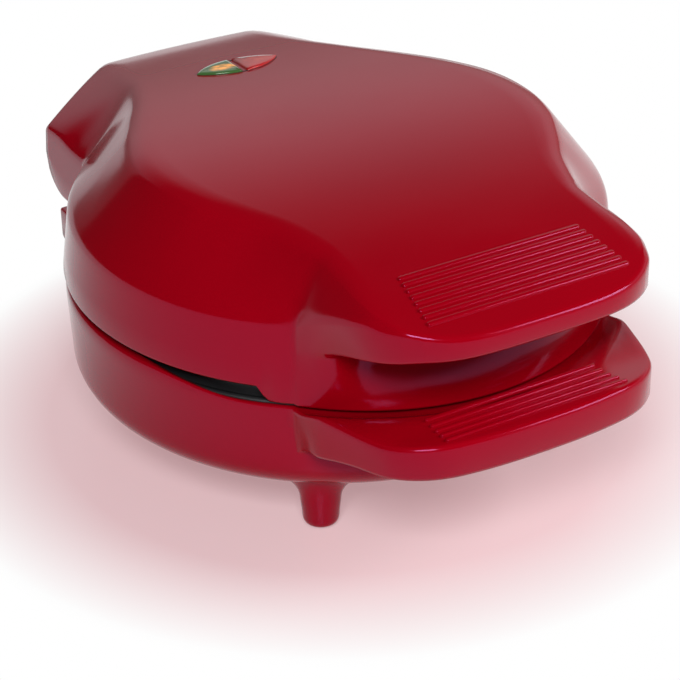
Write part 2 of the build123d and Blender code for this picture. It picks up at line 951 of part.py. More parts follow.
with BuildPart() as lower_plate:
    with BuildSketch(level(seam_z - air / 2)):
        Circle(plate_radius)
    extrude(amount=-plate_flange)
    with BuildSketch(level(web_z)):
        Circle(bake_radius + web)
    extrude(amount=seam_z - air / 2 - web_z)
    with BuildSketch(level(web_z)):
        with Locations(*plate_posts):
            Circle(post_radius)
    extrude(amount=shield_z + shield_sheet - web_z)
    with Locations(*[(x, y, 0) for x, y in cells]):
        add(cell_cup.part)
    with BuildSketch(level(cell_mouth_z)):
        Circle(bake_radius)
    extrude(amount=seam_z - cell_mouth_z, mode=Mode.SUBTRACT)
    with Locations(*[(x, y, 0) for x, y in cells]):
        add(cell_hollow.part, mode=Mode.SUBTRACT)
    with BuildSketch(level(shield_z)):
        with Locations(*plate_posts):
            Circle(screw_radius + screw_air)
    extrude(amount=plate_screw_length + air, mode=Mode.SUBTRACT)
lower_plate.part.label = "lower_plate"

with BuildPart() as lower_plate_screws:
    add(
        screws(
            plate_posts,
            shield_z,
            plate_screw_length,
            screw_radius,
            screw_head_radius,
            screw_head_height,
        )
    )
lower_plate_screws.part.label = "lower_plate_screws"

# Tubular heater: an open ring under the cells, with its two terminals at the rear
with BuildPart() as lower_element:
    with BuildSketch(around(terminal_angles[1])):
        with Locations((element_radius, element_z)):
            Circle(element_tube)
    revolve(axis=body_axis, revolution_arc=360 - element_gap_angle)
    with BuildSketch(level(element_z)):
        with Locations(*terminal_places):
            Circle(terminal_radius)
    extrude(amount=shield_z - terminal_reach - element_z)
lower_element.part.label = "lower_element"


def shield(holes):
    """Steel pan under a plate; the middle hole is for a thermostat."""
    with BuildPart() as pan:
        with BuildSketch(section(0)):
            with BuildLine():
                Polyline(
                    (0, shield_z),
                    (shield_radius, shield_z),
                    (shield_radius, shield_z + shield_rim),
                    (shield_radius - shield_sheet, shield_z + shield_rim),
                    (shield_radius - shield_sheet, shield_z + shield_sheet),
                    (0, shield_z + shield_sheet),
                    close=True,
                )
            make_face()
        revolve(axis=body_axis)
        with BuildSketch(level(shield_z)):
            with Locations(*plate_posts):
                Circle(screw_radius + air)
            with Locations(*terminal_places):
                Circle(terminal_hole)
            for place, radius in holes:
                with Locations(place):
                    Circle(radius)
        extrude(amount=shield_sheet, mode=Mode.SUBTRACT)
    return pan.part


with BuildPart() as lower_heat_shield:
    add(shield([((0, 0), thermostat_radius + 1), (earth_place, screw_radius + screw_air)]))
lower_heat_shield.part.label = "lower_heat_shield"

with BuildPart() as thermostat:
    with BuildSketch(level(cell_bottom_z - air)):
        Circle(thermostat_radius)
    extrude(amount=-thermostat_height)
    with BuildSketch(level(cell_bottom_z - air - thermostat_height)):
        with GridLocations(thermostat_tab_spacing, 1, 2, 1):
            Rectangle(thermostat_tab[1], thermostat_tab[0])
    extrude(amount=-thermostat_tab[2])
thermostat.part.label = "thermostat"

with BuildPart() as thermal_fuse:
    with BuildSketch(side(0)):
        with Locations((fuse_back, shield_z - air - fuse_radius)):
            Circle(fuse_radius)
    extrude(amount=fuse_length / 2, both=True)
    with BuildSketch(side(0)):
        with Locations((fuse_back, shield_z - air - fuse_radius)):
            Circle(fuse_lead_radius)
    extrude(amount=fuse_length / 2 + fuse_lead, both=True)
thermal_fuse.part.label = "thermal_fuse"

# Earth tag and its screw, under the lower heat shield
with BuildPart() as earth_tag:
    with BuildSketch(level(shield_z)):
        with Locations((earth_place[0] + earth_tab[0] / 4, earth_place[1])):
            Rectangle(earth_tab[0], earth_tab[1])
        with Locations(earth_place):
            Circle(screw_radius + screw_air, mode=Mode.SUBTRACT)
    extrude(amount=-earth_tab[2])
earth_tag.part.label = "earth_tag"

with BuildPart() as earth_screw:
    add(
        screws(
            [earth_place],
            shield_z - earth_tab[2],
            screw_head_height + earth_tab[2],
            screw_radius,
            screw_head_radius,
            screw_head_height,
        )
    )
earth_screw.part.label = "earth_screw"

block_floor_z = base_floor_z + wall
with BuildPart() as terminal_block:
    with BuildSketch(level(block_floor_z)):
        with Locations((0, block_back)):
            Rectangle(block_length, block_width)
    extrude(amount=block_height)
    with BuildSketch(level(block_floor_z + block_height)):
        with Locations((0, block_back)):
            with GridLocations(block_pitch, 1, block_poles, 1):
                Circle(screw_radius)
    extrude(amount=-block_height / 2, mode=Mode.SUBTRACT)
terminal_block.part.label = "terminal_block"

wire_z = block_floor_z + block_height / 3


def wire(points):
    """Insulated wire along straight runs joined by tangent arcs."""
    with BuildPart() as tube:
        with BuildLine() as route:
            FilletPolyline(*[(x, body_y + back, z) for x, back, z in points], radius=wire_bend)
        with BuildSketch(Plane(origin=route.line @ 0, z_dir=route.line % 0)):
            Circle(wire_radius)
        sweep()
    return tube.part


terminal_x, terminal_back = terminal_places[0]
block_front = block_back - block_width / 2
thermostat_tab_end = cell_bottom_z - thermostat_height - thermostat_tab[2] - 2 * air

with BuildPart() as base_wires:
    for hand in (-1, 1):
        add(
            wire(
                [
                    (hand * terminal_x, terminal_back, shield_z - terminal_reach - air),
                    (hand * terminal_x, terminal_back, wire_z),
                    (hand * block_pitch, terminal_back, wire_z),
                    (hand * block_pitch, block_front - air, wire_z),
                ]
            )
        )
    add(
        wire(
            [
                (thermostat_tab_spacing / 2, 0, thermostat_tab_end),
                (thermostat_tab_spacing / 2, 0, wire_z),
                (thermostat_tab_spacing / 2, block_front - air, wire_z),
            ]
        )
    )
base_wires.part.label = "base_wires"

with BuildPart() as upper_plate:
    add(lower_plate.part.mirror(seam))
upper_plate.part.label = "upper_plate"

with BuildPart() as upper_plate_screws:
    add(lower_plate_screws.part.mirror(seam))
upper_plate_screws.part.label = "upper_plate_screws"

with BuildPart() as upper_element:
    add(lower_element.part.mirror(seam))
upper_element.part.label = "upper_element"

with BuildPart() as upper_heat_shield:
    add(shield([]).mirror(seam))
upper_heat_shield.part.label = "upper_heat_shield"

lid_terminal_z = 2 * seam_z - shield_z + terminal_reach + air
lid_wire_z = (lid_terminal_z + lamp_plate_z) / 2
with BuildPart() as lid_wires:
    for hand in (-1, 1):
        add(
            wire(
                [
                    (hand * terminal_x, terminal_back, lid_terminal_z),
                    (hand * terminal_x, terminal_back, lid_wire_z),
                    (hand * wire_spread, terminal_back, lid_wire_z),
                    (hand * wire_spread, lens_back, lid_wire_z),
                    (hand * wire_spread, lens_back, lamp_plate_z - air),
                ]
            )
        )
lid_wires.part.label = "lid_wires"

for piece in (
    lid_shell,
    upper_frame,
    upper_plate,
    upper_element,
    upper_heat_shield,
    upper_plate_screws,
    lid_frame_screws,
    green_lens,
    red_lens,
    lamp_holder,
    ready_lamp,
    power_lamp,
    lamp_screws,
    lid_wires,
    lower_shell,
    foot_pads,
    cord_bush,
    left_hinge_pin,
    right_hinge_pin,
    lower_frame,
    lower_plate,
    lower_element,
    lower_heat_shield,
    lower_plate_screws,
    base_frame_screws,
    thermostat,
    thermal_fuse,
    earth_tag,
    earth_screw,
    terminal_block,
    base_wires,
):
    export_step(piece.part, f"parts/{piece.part.label}.step")
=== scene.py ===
"""Skins, finishes and studio of a round bubble waffle maker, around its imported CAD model."""

from math import atan2, cos, degrees, hypot, pi, radians, sin, sqrt

import bmesh
import bpy
from bpy.props import FloatProperty, FloatVectorProperty, PointerProperty
from mathutils import Matrix, Vector


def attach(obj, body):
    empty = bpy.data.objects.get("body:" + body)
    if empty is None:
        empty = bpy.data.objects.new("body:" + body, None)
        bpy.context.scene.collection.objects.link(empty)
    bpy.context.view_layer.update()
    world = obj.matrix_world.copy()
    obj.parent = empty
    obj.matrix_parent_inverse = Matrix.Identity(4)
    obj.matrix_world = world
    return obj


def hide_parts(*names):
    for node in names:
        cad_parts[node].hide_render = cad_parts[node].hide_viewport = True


bl_info = {
    "name": "Bubble waffle maker",
    "version": (1, 0, 0),
    "blender": (4, 5, 0),
    "location": "View3D > Sidebar > Waffle maker",
    "description": "Moulded shells, finishes and studio of a round bubble waffle maker",
    "category": "Object",
}

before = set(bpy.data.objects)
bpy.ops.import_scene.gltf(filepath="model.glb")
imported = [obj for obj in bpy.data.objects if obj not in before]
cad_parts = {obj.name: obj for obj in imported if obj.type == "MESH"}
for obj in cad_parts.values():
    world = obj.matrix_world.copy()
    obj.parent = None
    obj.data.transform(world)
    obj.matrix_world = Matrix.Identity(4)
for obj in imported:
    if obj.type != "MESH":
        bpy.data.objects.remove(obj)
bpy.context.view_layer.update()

# Shapes are worked out in millimetres, with the axis of the round body at the origin and the
# grips towards -Y. Pieces are shrunk to metres and moved back onto that axis at the end.
MM = 0.001
BODY_Y = 3.5

# Rounding of the long edges, of the grips' low edges and of the free ends of walls, the shares at
# which a rounded edge is cut into faces, and the steps between points along an outline
EDGE = 2.2
LOW_EDGE = 1.2
WALL_END = 1.0
QUARTERS = (0.25, 0.5, 0.75)
LID_STEP = 2.2
WING_STEP = 2.0
BASE_STEP = 2.4

# Lid: its crest is the line where the upper face meets the walls, and its skirt is the part of
# the front wall that hangs inside the base
CREST_Z = 94.0
CREST_R = 105.0
RIM_R = 108.5
RIM_Z = 68.5
SKIRT_Z = 62.5
SKIRT_END = -73.0
SKIRT_RUN = 2.2
BACK_WALL_LEVELS = (RIM_Z, 76.0, 84.0, 91.0)
ROUND_LEVELS = (88.5, 88.0, 87.4, 86.4, 85.0, 78.0)

# Roof panel: an arc from front to rear that rolls down a little at its rear edge, with a soft fold
# to the side facets, which keep a least width
ROOF_TOP = 123.46
ROOF_RADIUS = 600.0
ROOF_APEX = -4.0
ROLL_DROP = 0.5
ROLL_START = 118.0
ROLL_RUN = 24.0
FOLD_SOFT = 3.6
LEAST_FACET = 0.4
LEAST_HALF = 54.0
PANEL_COLUMNS = 14
FACET_COLUMNS = 13
FRONT_ROWS = -95.0
REAR_ROWS = 55.0

# Wings on either side of the hinge, and the cheeks below them, which round the hinge's axis
WING_X = 74.5
WING_FRONT = 74.0
WING_REAR = 111.0
WING_ROOT_Y = 78.9
WING_START = 45.0
WING_TURN = (radians(30), radians(14.8))
WING_SHARES = (0.215, 0.235, 0.26, 0.3, 0.355, 0.63)
VALLEY_SOFT = 3.0
VALLEY_RUN = 12.0
CHEEK_REAR = 113.0
CHEEK_Z = 83.5
CHEEK_R = 15.0
HINGE_Y = 98.0

# Hood over the hinge
HOOD_REAR = 140.0
HOOD_CORNER = (36.0, 136.6)
HOOD_Z = 94.5
HOOD_LEAN = 0.46
HOOD_SHARES = (0.6, 0.64, 0.68, 0.72, 0.76, 0.82)

# Upper grip, and the round bulge of the front wall under it
LIP_Y = -143.5
GRIP_ROOT = (66.0, -82.0)
FADE_START = -90.0
FADE_RUN = 32.0
FADE_Z = 66.0
BULGE_Y = -24.0
BULGE_R = 92.0
BULGE_LEAN = 11.0 / 31.5

# Base: its rim carries a flat land, and its low rear is cut off flat
BASE_RIM_R = 108.0
BASE_RIM_Z = 61.0
BASE_RIM_EDGE = 1.0
BASE_FLOOR_R = 106.4
BASE_FLOOR_Z = 22.0
BASE_ROUND = 13.5
BASE_LEVELS = (57.5, 56.5, 55.5, 54.0, 52.6, 52.4)
LAND_R = 104.0
LAND_SHARES = (0.12, 0.25, 0.38, 0.5, 0.62, 0.75, 0.88, 1.0)
UNDERCUT_Y = 97.0
UNDERCUT_Z = 52.5
UNDERCUT_SLOPE = 0.4
FLOOR_R = 70.0

# Lower grip: rise beyond the lid's bulge, further rise towards its lip, and the blend of its low
# edge into the side of the base
GRIP_RISE = 4.0
GRIP_RISE_START = 0.5
GRIP_RISE_RUN = 9.0
LIP_RISE = 2.3
LIP_RISE_START = -124.0
LIP_RISE_RUN = 21.0
LOWER_EDGE = 1.6
BLEND_START = -84.0
BLEND_RUN = 16.0
BLEND_Z = 38.0

# Feet: rings of (radius, height) from the tip upwards, then a flare into the base that is wider
# towards the middle of the machine
FOOT_R = 90.0
FOOT_TURN = 35.0
FOOT_TIP = (4.6, 0.8)
FOOT_RINGS = ((5.6, 0.9), (6.4, 1.5), (6.85, 2.4), (7.05, 3.6), (7.3, 7.0), (7.6, 9.5))
FLARE_START = (7.8, 11.0)
FLARE = 13.0
FLARE_LESS = 8.0
FLARE_SINK = 0.25
FLARE_STEPS = 8

# Dark ring on the rim, a painted shade of the gap under the lid, and the corner blocks of the base with the
# knuckles that stand on them
SHADE_RING = ((103.9, 60.9), (106.5, 60.9), (106.5, 61.8), (103.9, 61.8))
BLOCK_X = (59.5, 73.5)
BLOCK_PROFILE = ((64, 33), (86, 33), (106, 48), (106, 61), (64, 61))
BLOCK_ROUND = 1.2
KNUCKLE_X = (59.5, 69.7)
KNUCKLE_FOOT = ((87, 50), (100, 50))
KNUCKLE_Z = 83.0
KNUCKLE_R = 11.0
KNUCKLE_ROUND = 0.6
SHARP = 0.35

# Ribs of the grips: how many, the distance back of the first, the pitch and the first half-length
UPPER_RIBS = (8, -106.5, 3.5, 38.0)
LOWER_RIBS = (5, -121.7, 4.15, 36.5)
RIB_LONGER = 0.55
RIB_SINK = 0.6
RIB_RINGS = ((1.0, 0.1875), (0.93, 0.5625), (0.7, 0.875), (0.35, 1.0))

# Lamp window: its distance back, the slant and half-gap of the joint between the lenses, the
# middle of each lens, and its dome as (share of the outline, lift)
WINDOW_Y = 81.0
JOINT_SLANT = 0.22
JOINT_GAP = 0.25
LENS_X = 7.0
LENS_SINK = 1.2
LENS_DOME = ((1.0, 0.35), (0.985, 0.62), (0.95, 0.85), (0.88, 1.0), (0.7, 1.2), (0.45, 1.33), (0.2, 1.38))
LINE_RINGS = ((-0.6, -0.5), (-0.6, 0.1), (0.35, 0.1), (0.35, -0.5))

# In the tables below, the first number is the distance back unless the comment says otherwise.
# Distance from the middle to the fold between the roof panel and the side facets
CREASE = (
    (-82, 55), (-73, 56.8), (-60, 61.3), (-45, 70), (-30, 77.5), (-10, 81.5), (12, 79.5), (33, 71.5),
    (50, 62.5), (66, 54), (83, 46), (96, 41), (116, 37), (146, 35.5),
)
# Width of the facet beside the upper grip
GRIP_FACET = (
    (-144, 2.4), (-132, 2.4), (-125, 2.4), (-118.7, 3.4), (-112, 4.6), (-104.5, 6.2), (-95, 8.6),
    (-82, 11.0),
)
# How far the outer edge of that facet lies below the roof
GRIP_DROP = (
    (-144, 0.6), (-138, 0.8), (-132, 1.3), (-125, 2.3), (-118.7, 3.2), (-112, 6.2), (-104.5, 10.4),
    (-95, 15.6), (-82, 24.2),
)
# Half-width of the upper grip
GRIP_HALF = (
    (-144, 51.5), (-132, 53.2), (-125.5, 55.2), (-118.7, 58.2), (-112, 60.3), (-104.5, 62.0),
    (-95, 63.8), (-82, 66.0),
)
# Height of the low edge of the upper grip
LIP_LOW = (
    (-144, 99.2), (-136, 98.5), (-132, 97.6), (-125.8, 96), (-119, 94.5), (-111, 92), (-97.5, 87.5),
    (-84, 83),
)
# Height of the low edge of the lower grip
LOWER_LOW = (
    (-146, 53.4), (-140, 53.2), (-134, 52.7), (-127, 52), (-116, 51.2), (-104, 48.5), (-91, 44.5),
    (-80, 41),
)
# Height of the wings' outer edge over the crest
WING_TOP = ((60, 1.6), (77, 1.6), (86, 1.8), (97, 3.2), (111, 2.4), (146, -2.0))
# Front edge of the upper lip: distance from the middle, and the distance back there
LIP_FRONT = (
    (0, -143.5), (14, -143.4), (26, -142.7), (34, -141.3), (40.5, -138.9), (46.3, -135.4),
    (52, -130.2),
)
# Side of the upper grip in plan, from its front corner to the round body
LIP_SIDE = (
    (46.3, -135.4), (51.2, -131.0), (55.0, -125.5), (58.1, -118.7), (60.3, -112), (62, -104.5),
    (63.8, -95), (66, -82),
)
# Lower grip in plan, from the middle of its lip to the round body
LOWER_SIDE = (
    (0, -145.5), (10, -145.4), (20, -144.9), (29, -144), (37, -142.7), (43.5, -140.6), (48.2, -138),
    (52, -135), (54.9, -131.8), (57.2, -128.2), (59.8, -122), (61.8, -116), (63.7, -109.6),
    (65.6, -103), (67.1, -96.5), (68.1, -90), (68.3, -83.7),
)


def spline(table, at):
    """Smooth curve through (key, value) pairs."""
    if at <= table[0][0]:
        return table[0][1]
    if at >= table[-1][0]:
        return table[-1][1]
    low = max(k for k in range(len(table)) if table[k][0] <= at)

    def slope(k):
        before, after = table[max(k - 1, 0)], table[min(k + 1, len(table) - 1)]
        return (after[1] - before[1]) / (after[0] - before[0])

    (x0, y0), (x1, y1) = table[low], table[low + 1]
    span = x1 - x0
    t = (at - x0) / span
    return (
        (2 * t**3 - 3 * t**2 + 1) * y0
        + (t**3 - 2 * t**2 + t) * slope(low) * span
        + (3 * t**2 - 2 * t**3) * y1
        + (t**3 - t**2) * slope(low + 1) * span
    )


def smoothstep(t):
    """Smooth rise from 0 at t = 0 to 1 at t = 1, level at both ends."""
    t = min(max(t, 0.0), 1.0)
    return t * t * (3 - 2 * t)


def soft_min(a, b, reach):
    """The lower of two heights, rounded where they cross within reach."""
    if reach <= 0:
        return min(a, b)
    near = max(reach - abs(a - b), 0) / reach
    return min(a, b) - near * near * reach / 4


def soft_ramp(t, reach):
    """0 before t = 0 and t after it, with the corner rounded over reach."""
    if t <= -reach:
        return 0.0
    if t >= reach:
        return t
    return (t + reach) ** 2 / (4 * reach)


def bend(a, b, c, t):
    """Point of the rounded corner from a by b to c."""
    return a * (1 - t) ** 2 + b * (2 * t * (1 - t)) + c * t**2


def smooth_line(points, step):
    """Points at about equal steps on a smooth curve through the given ones."""
    line = []
    for k in range(len(points) - 1):
        p1, p2 = Vector(points[k]), Vector(points[k + 1])
        p0 = Vector(points[k - 1]) if k else 2 * p1 - p2
        p3 = Vector(points[k + 2]) if k + 2 < len(points) else 2 * p2 - p1
        count = max(1, round((p2 - p1).length / step))
        for i in range(count):
            t = i / count
            place = 2 * p1 + (p2 - p0) * t
            place = place + (2 * p0 - 5 * p1 + 4 * p2 - p3) * t**2
            place = place + (3 * p1 - p0 - 3 * p2 + p3) * t**3
            line.append(0.5 * place)
    return [tuple(p) for p in line] + [tuple(points[-1])]


def straight(start, end, step):
    """Points from start up to but not including end."""
    dx, dy = end[0] - start[0], end[1] - start[1]
    count = max(1, round(hypot(dx, dy) / step))
    return [(start[0] + dx * k / count, start[1] + dy * k / count) for k in range(count)]


def turn(centre, radius, low, high, step):
    """Points of an arc, angles in degrees, without its last point."""
    count = max(1, round(radius * radians(abs(high - low)) / step))
    angles = [radians(low + (high - low) * k / count) for k in range(count)]
    return [(centre[0] + radius * cos(a), centre[1] + radius * sin(a)) for a in angles]


def inset_line(points, distance):
    """The same open line moved towards the middle of the machine."""
    moved = []
    for k, (x, y) in enumerate(points):
        ahead, behind = points[min(k + 1, len(points) - 1)], points[max(k - 1, 0)]
        along = Vector((ahead[0] - behind[0], ahead[1] - behind[1])).normalized()
        moved.append((x - along.y * distance, y + along.x * distance))
    return moved


def add_ring(bm, loop, places):
    """Extrudes a closed loop of vertices once and puts the new ones in their places."""
    edges = [bm.edges.get(pair) for pair in zip(loop, loop[1:] + loop[:1])]
    made = bmesh.ops.extrude_edge_only(bm, edges=edges)["geom"]
    fresh = {v for v in made if isinstance(v, bmesh.types.BMVert)}
    ring = [next(e.other_vert(v) for e in v.link_edges if e.other_vert(v) in fresh) for v in loop]
    for vert, place in zip(ring, places):
        vert.co = place
    return ring


def start_loop(bm, places):
    """A closed loop of vertices at the given places."""
    loop = bmesh.ops.create_circle(bm, segments=len(places), radius=1)["verts"]
    for vert, place in zip(loop, places):
        vert.co = place
    return loop


def mirrored(points, flip):
    """The same points, or those on the other side of the machine."""
    return [Vector((-p.x, p.y, p.z)) for p in points] if flip else points


def face_out(bm, inside):
    """Makes all faces of an open sheet or a shell point away from a point within it."""
    bmesh.ops.recalc_face_normals(bm, faces=bm.faces)
    tally = sum((f.calc_center_median() - inside).dot(f.normal) * f.calc_area() for f in bm.faces)
    if tally < 0:
        bmesh.ops.reverse_faces(bm, faces=bm.faces)


def solid_out(bm):
    """Makes all faces of closed solids point outwards."""
    bmesh.ops.recalc_face_normals(bm, faces=bm.faces)
    if bm.calc_volume(signed=True) < 0:
        bmesh.ops.reverse_faces(bm, faces=bm.faces)


def new_piece(bm, name, finish, body, replaces=(), wall=0.0):
    """Turns a bmesh in millimetres into a finished piece that rides on a body."""
    bmesh.ops.translate(bm, verts=bm.verts, vec=(0, BODY_Y, 0))
    bmesh.ops.scale(bm, verts=bm.verts, vec=(MM, MM, MM))
    mesh = bpy.data.meshes.new(name)
    bm.to_mesh(mesh)
    bm.free()
    mesh.shade_smooth()
    mesh.materials.append(bpy.data.materials[finish])
    piece = bpy.data.objects.new(name, mesh)
    bpy.context.scene.collection.objects.link(piece)
    if wall:
        shell = piece.modifiers.new("Wall", "SOLIDIFY")
        shell.thickness = wall
        shell.offset = -1
        shell.use_even_offset = False
    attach(piece, body)
    if replaces:
        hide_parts(*replaces)
    return piece


def roof(y):
    """Height of the roof panel."""
    roll = ROLL_DROP * smoothstep((y - ROLL_START) / ROLL_RUN) ** 2
    return ROOF_TOP - ROOF_RADIUS + sqrt(ROOF_RADIUS**2 - (y - ROOF_APEX) ** 2) - roll


def crest_half(y):
    """Half-width of the lid at its crest."""
    if y < GRIP_ROOT[1]:
        return spline(GRIP_HALF, y)
    return sqrt(max(CREST_R**2 - y * y, LEAST_HALF**2))


def crease(y):
    """Distance from the middle to the fold between the roof panel and a facet."""
    if y < GRIP_ROOT[1]:
        return spline(GRIP_HALF, y) - spline(GRIP_FACET, y)
    return spline(CREASE, y)


def top_height(x, y):
    """Height of the lid's upper face: roof panel, side facets, grip and wings."""
    x = abs(x)
    panel = roof(y)
    edge, half = crease(y), crest_half(y)
    drop = spline(GRIP_DROP, y) if y < GRIP_ROOT[1] else panel - CREST_Z
    reach = min(FOLD_SOFT, 0.45 * (half - edge))
    facet = panel - drop * soft_ramp(x - edge, reach) / (half - edge)
    if y < WING_START or x < edge - 4:
        return facet
    wing_drop = panel - CREST_Z - spline(WING_TOP, y)
    wing = panel - wing_drop * soft_ramp(x - edge, FOLD_SOFT) / (WING_X - edge)
    return -soft_min(-facet, -wing, VALLEY_SOFT * smoothstep((x - edge + 2) / VALLEY_RUN))


def drum(z):
    """Radius of the lid's round side at a height."""
    return CREST_R + (RIM_R - CREST_R) * (CREST_Z - z) / (CREST_Z - RIM_Z)


def lid_front_edge(x):
    """Front edge of the lid's lip."""
    return spline(LIP_FRONT, x)


def lid_rear_edge(x):
    """Rear edge of the hood."""
    cx, cy = HOOD_CORNER
    bow = HOOD_REAR - (HOOD_REAR - cy) * (min(x, cx) / cx) ** 2
    return bow - soft_ramp(x - cx, 2.0) * (cy - WING_REAR) / (WING_X - cx)


def hood_lean(x):
    """How far the rear edge of the hood faces sideways, from none in its middle."""
    return HOOD_LEAN * smoothstep((x - 34) / 8)


def lid_side():
    """Right side of the lid at its crest, from the middle of the lip's corner to the rear."""
    rx, ry = GRIP_ROOT
    low, high = degrees(atan2(ry, rx)), degrees(atan2(WING_FRONT, WING_X))
    points = [(x, y, "grip") for x, y in smooth_line(LIP_SIDE, LID_STEP)[:-1]]
    points += [(x, y, "round") for x, y in turn((0, 0), CREST_R, low, high, LID_STEP)]
    front, rear = (WING_X, WING_FRONT), (WING_X, WING_REAR)
    points += [(x, y, "wing") for x, y in straight(front, rear, WING_STEP) + [rear]]
    return points


def front_wall(out, z):
    """Point of the lid's front wall under the grip, in a direction from the bulge's axis."""
    reach = BULGE_R - (z - SKIRT_Z) * BULGE_LEAN
    if z >= RIM_Z:
        across = -BULGE_Y * out.y
        reach = max(reach, across + sqrt(across**2 + drum(z) ** 2 - BULGE_Y**2))
    return Vector((out.x * reach, BULGE_Y + out.y * reach, z))


def fade_out(point, x, y, z, out):
    """Towards the body the underside of the grip fades into one plain wall from crest to rim."""
    share = smoothstep((FADE_START - y) / FADE_RUN)
    down = min((z - point.z) / (z - FADE_Z), 1.0)
    if down >= 1:
        return point
    foot = front_wall(out, FADE_Z)
    plain = Vector((x, y, point.z)).lerp(Vector((foot.x, foot.y, point.z)), down)
    return plain.lerp(point, share)


def wall_end(last, foot, out):
    """The free end of a wall: its last point outside, a bend, and the first point inside."""
    inner = Vector((foot.x - WALL_END * out.x, foot.y - WALL_END * out.y, foot.z))
    return [last, bend(last, foot, inner, 0.5), inner]


def grip_column(x, y, z):
    """Down the side of the upper grip, back under it, and down the front wall of the lid."""
    low = spline(LIP_LOW, y)
    out = Vector((x, y - BULGE_Y)).normalized()
    meet = front_wall(out, low)
    for _ in range(4):
        meet = front_wall(out, spline(LIP_LOW, meet.y))
    run = hypot(x - meet.x, y - meet.y)
    step, rise = min(LOW_EDGE, 0.3 * run), min(LOW_EDGE, 0.3 * (z - low))
    top = Vector((x, y, z - min(EDGE, 0.35 * (z - low))))
    above, corner = Vector((x, y, low + rise)), Vector((x, y, low))
    under = corner.lerp(meet, step / max(run, 0.01))
    column = [top, above, bend(above, corner, under, 0.5), under, meet]
    column += [front_wall(out, meet.z - LOW_EDGE), front_wall(out, (meet.z + RIM_Z) / 2)]
    column += wall_end(front_wall(out, SKIRT_Z + WALL_END), front_wall(out, SKIRT_Z), out)
    return [fade_out(point, x, y, z, out) for point in column]


def round_column(x, y, z):
    """Down the round side of the lid, to its rim or, in front, to the end of its skirt."""
    way = Vector((x, y)).normalized()
    start, run = WING_TURN
    shift = (WING_ROOT_Y - WING_FRONT) * smoothstep((atan2(y, x) - start) / run)

    def wall(at):
        radius = drum(max(at, RIM_Z))
        if at < RIM_Z:
            across = BULGE_Y * way.y
            radius = min(radius, across + sqrt(across**2 + BULGE_R**2 - BULGE_Y**2))
        back = shift * (CREST_Z - at) / (CREST_Z - RIM_Z)
        place = Vector((way.x * radius, way.y * radius + back, at))
        place.x = min(place.x, sqrt(max(radius**2 - place.y**2, 0)))
        return place

    rim = RIM_Z - (RIM_Z - SKIRT_Z) * smoothstep((SKIRT_END - y) / SKIRT_RUN)
    column = [wall(at) for at in (z - EDGE, *ROUND_LEVELS)]
    return column + wall_end(wall(rim + WALL_END), wall(rim), way)


def wing_column(x, y, z):
    """Down the flat cheek under a wing, to a low edge that rounds the hinge's axis."""
    low_y = WING_ROOT_Y + (y - WING_FRONT) * (CHEEK_REAR - WING_ROOT_Y) / (WING_REAR - WING_FRONT)
    low = RIM_Z
    if low_y > HINGE_Y:
        low = CHEEK_Z - sqrt(max(CHEEK_R**2 - (low_y - HINGE_Y) ** 2, 0))
    height = z - low

    def wall(share):
        return Vector((x, y + (low_y - y) * share, z + (low - z) * share))

    column = [wall(min(EDGE, 0.2 * height) / height)] + [wall(share) for share in WING_SHARES]
    return column + wall_end(wall(1 - WALL_END / height), wall(1), Vector((1, 0)))


def hood_column(x, y, z):
    """Down the rear edge of the hood, which is low in the middle and reaches the cheeks."""
    low = CHEEK_Z + (HOOD_Z - CHEEK_Z) * smoothstep((WING_X - x) / 5)
    back = y + (CHEEK_REAR - WING_REAR) * smoothstep((x - 66) / 8.5)
    height = z - low

    def wall(share):
        return Vector((x, y + (back - y) * share, z - height * share))

    column = [wall(min(EDGE, 0.5 * height) / height)] + [wall(share) for share in HOOD_SHARES]
    return column + wall_end(wall(0.88), wall(1), Vector((hood_lean(x), 0.88)).normalized())


COLUMNS = {"grip": grip_column, "round": round_column, "wing": wing_column, "hood": hood_column}


def lid_rows(inner):
    """Distance back of each row of the lid's grid in the middle, from the one at its side."""
    first, last = inner[0][1], inner[-1][1]
    rows = []
    for _, y in inner:
        if y < FRONT_ROWS:
            y = FRONT_ROWS + (y - FRONT_ROWS) * (LIP_Y + EDGE - FRONT_ROWS) / (first - FRONT_ROWS)
        elif y > REAR_ROWS:
            y = REAR_ROWS + (y - REAR_ROWS) * (HOOD_REAR - EDGE - REAR_ROWS) / (last - REAR_ROWS)
        rows.append(y)
    return rows


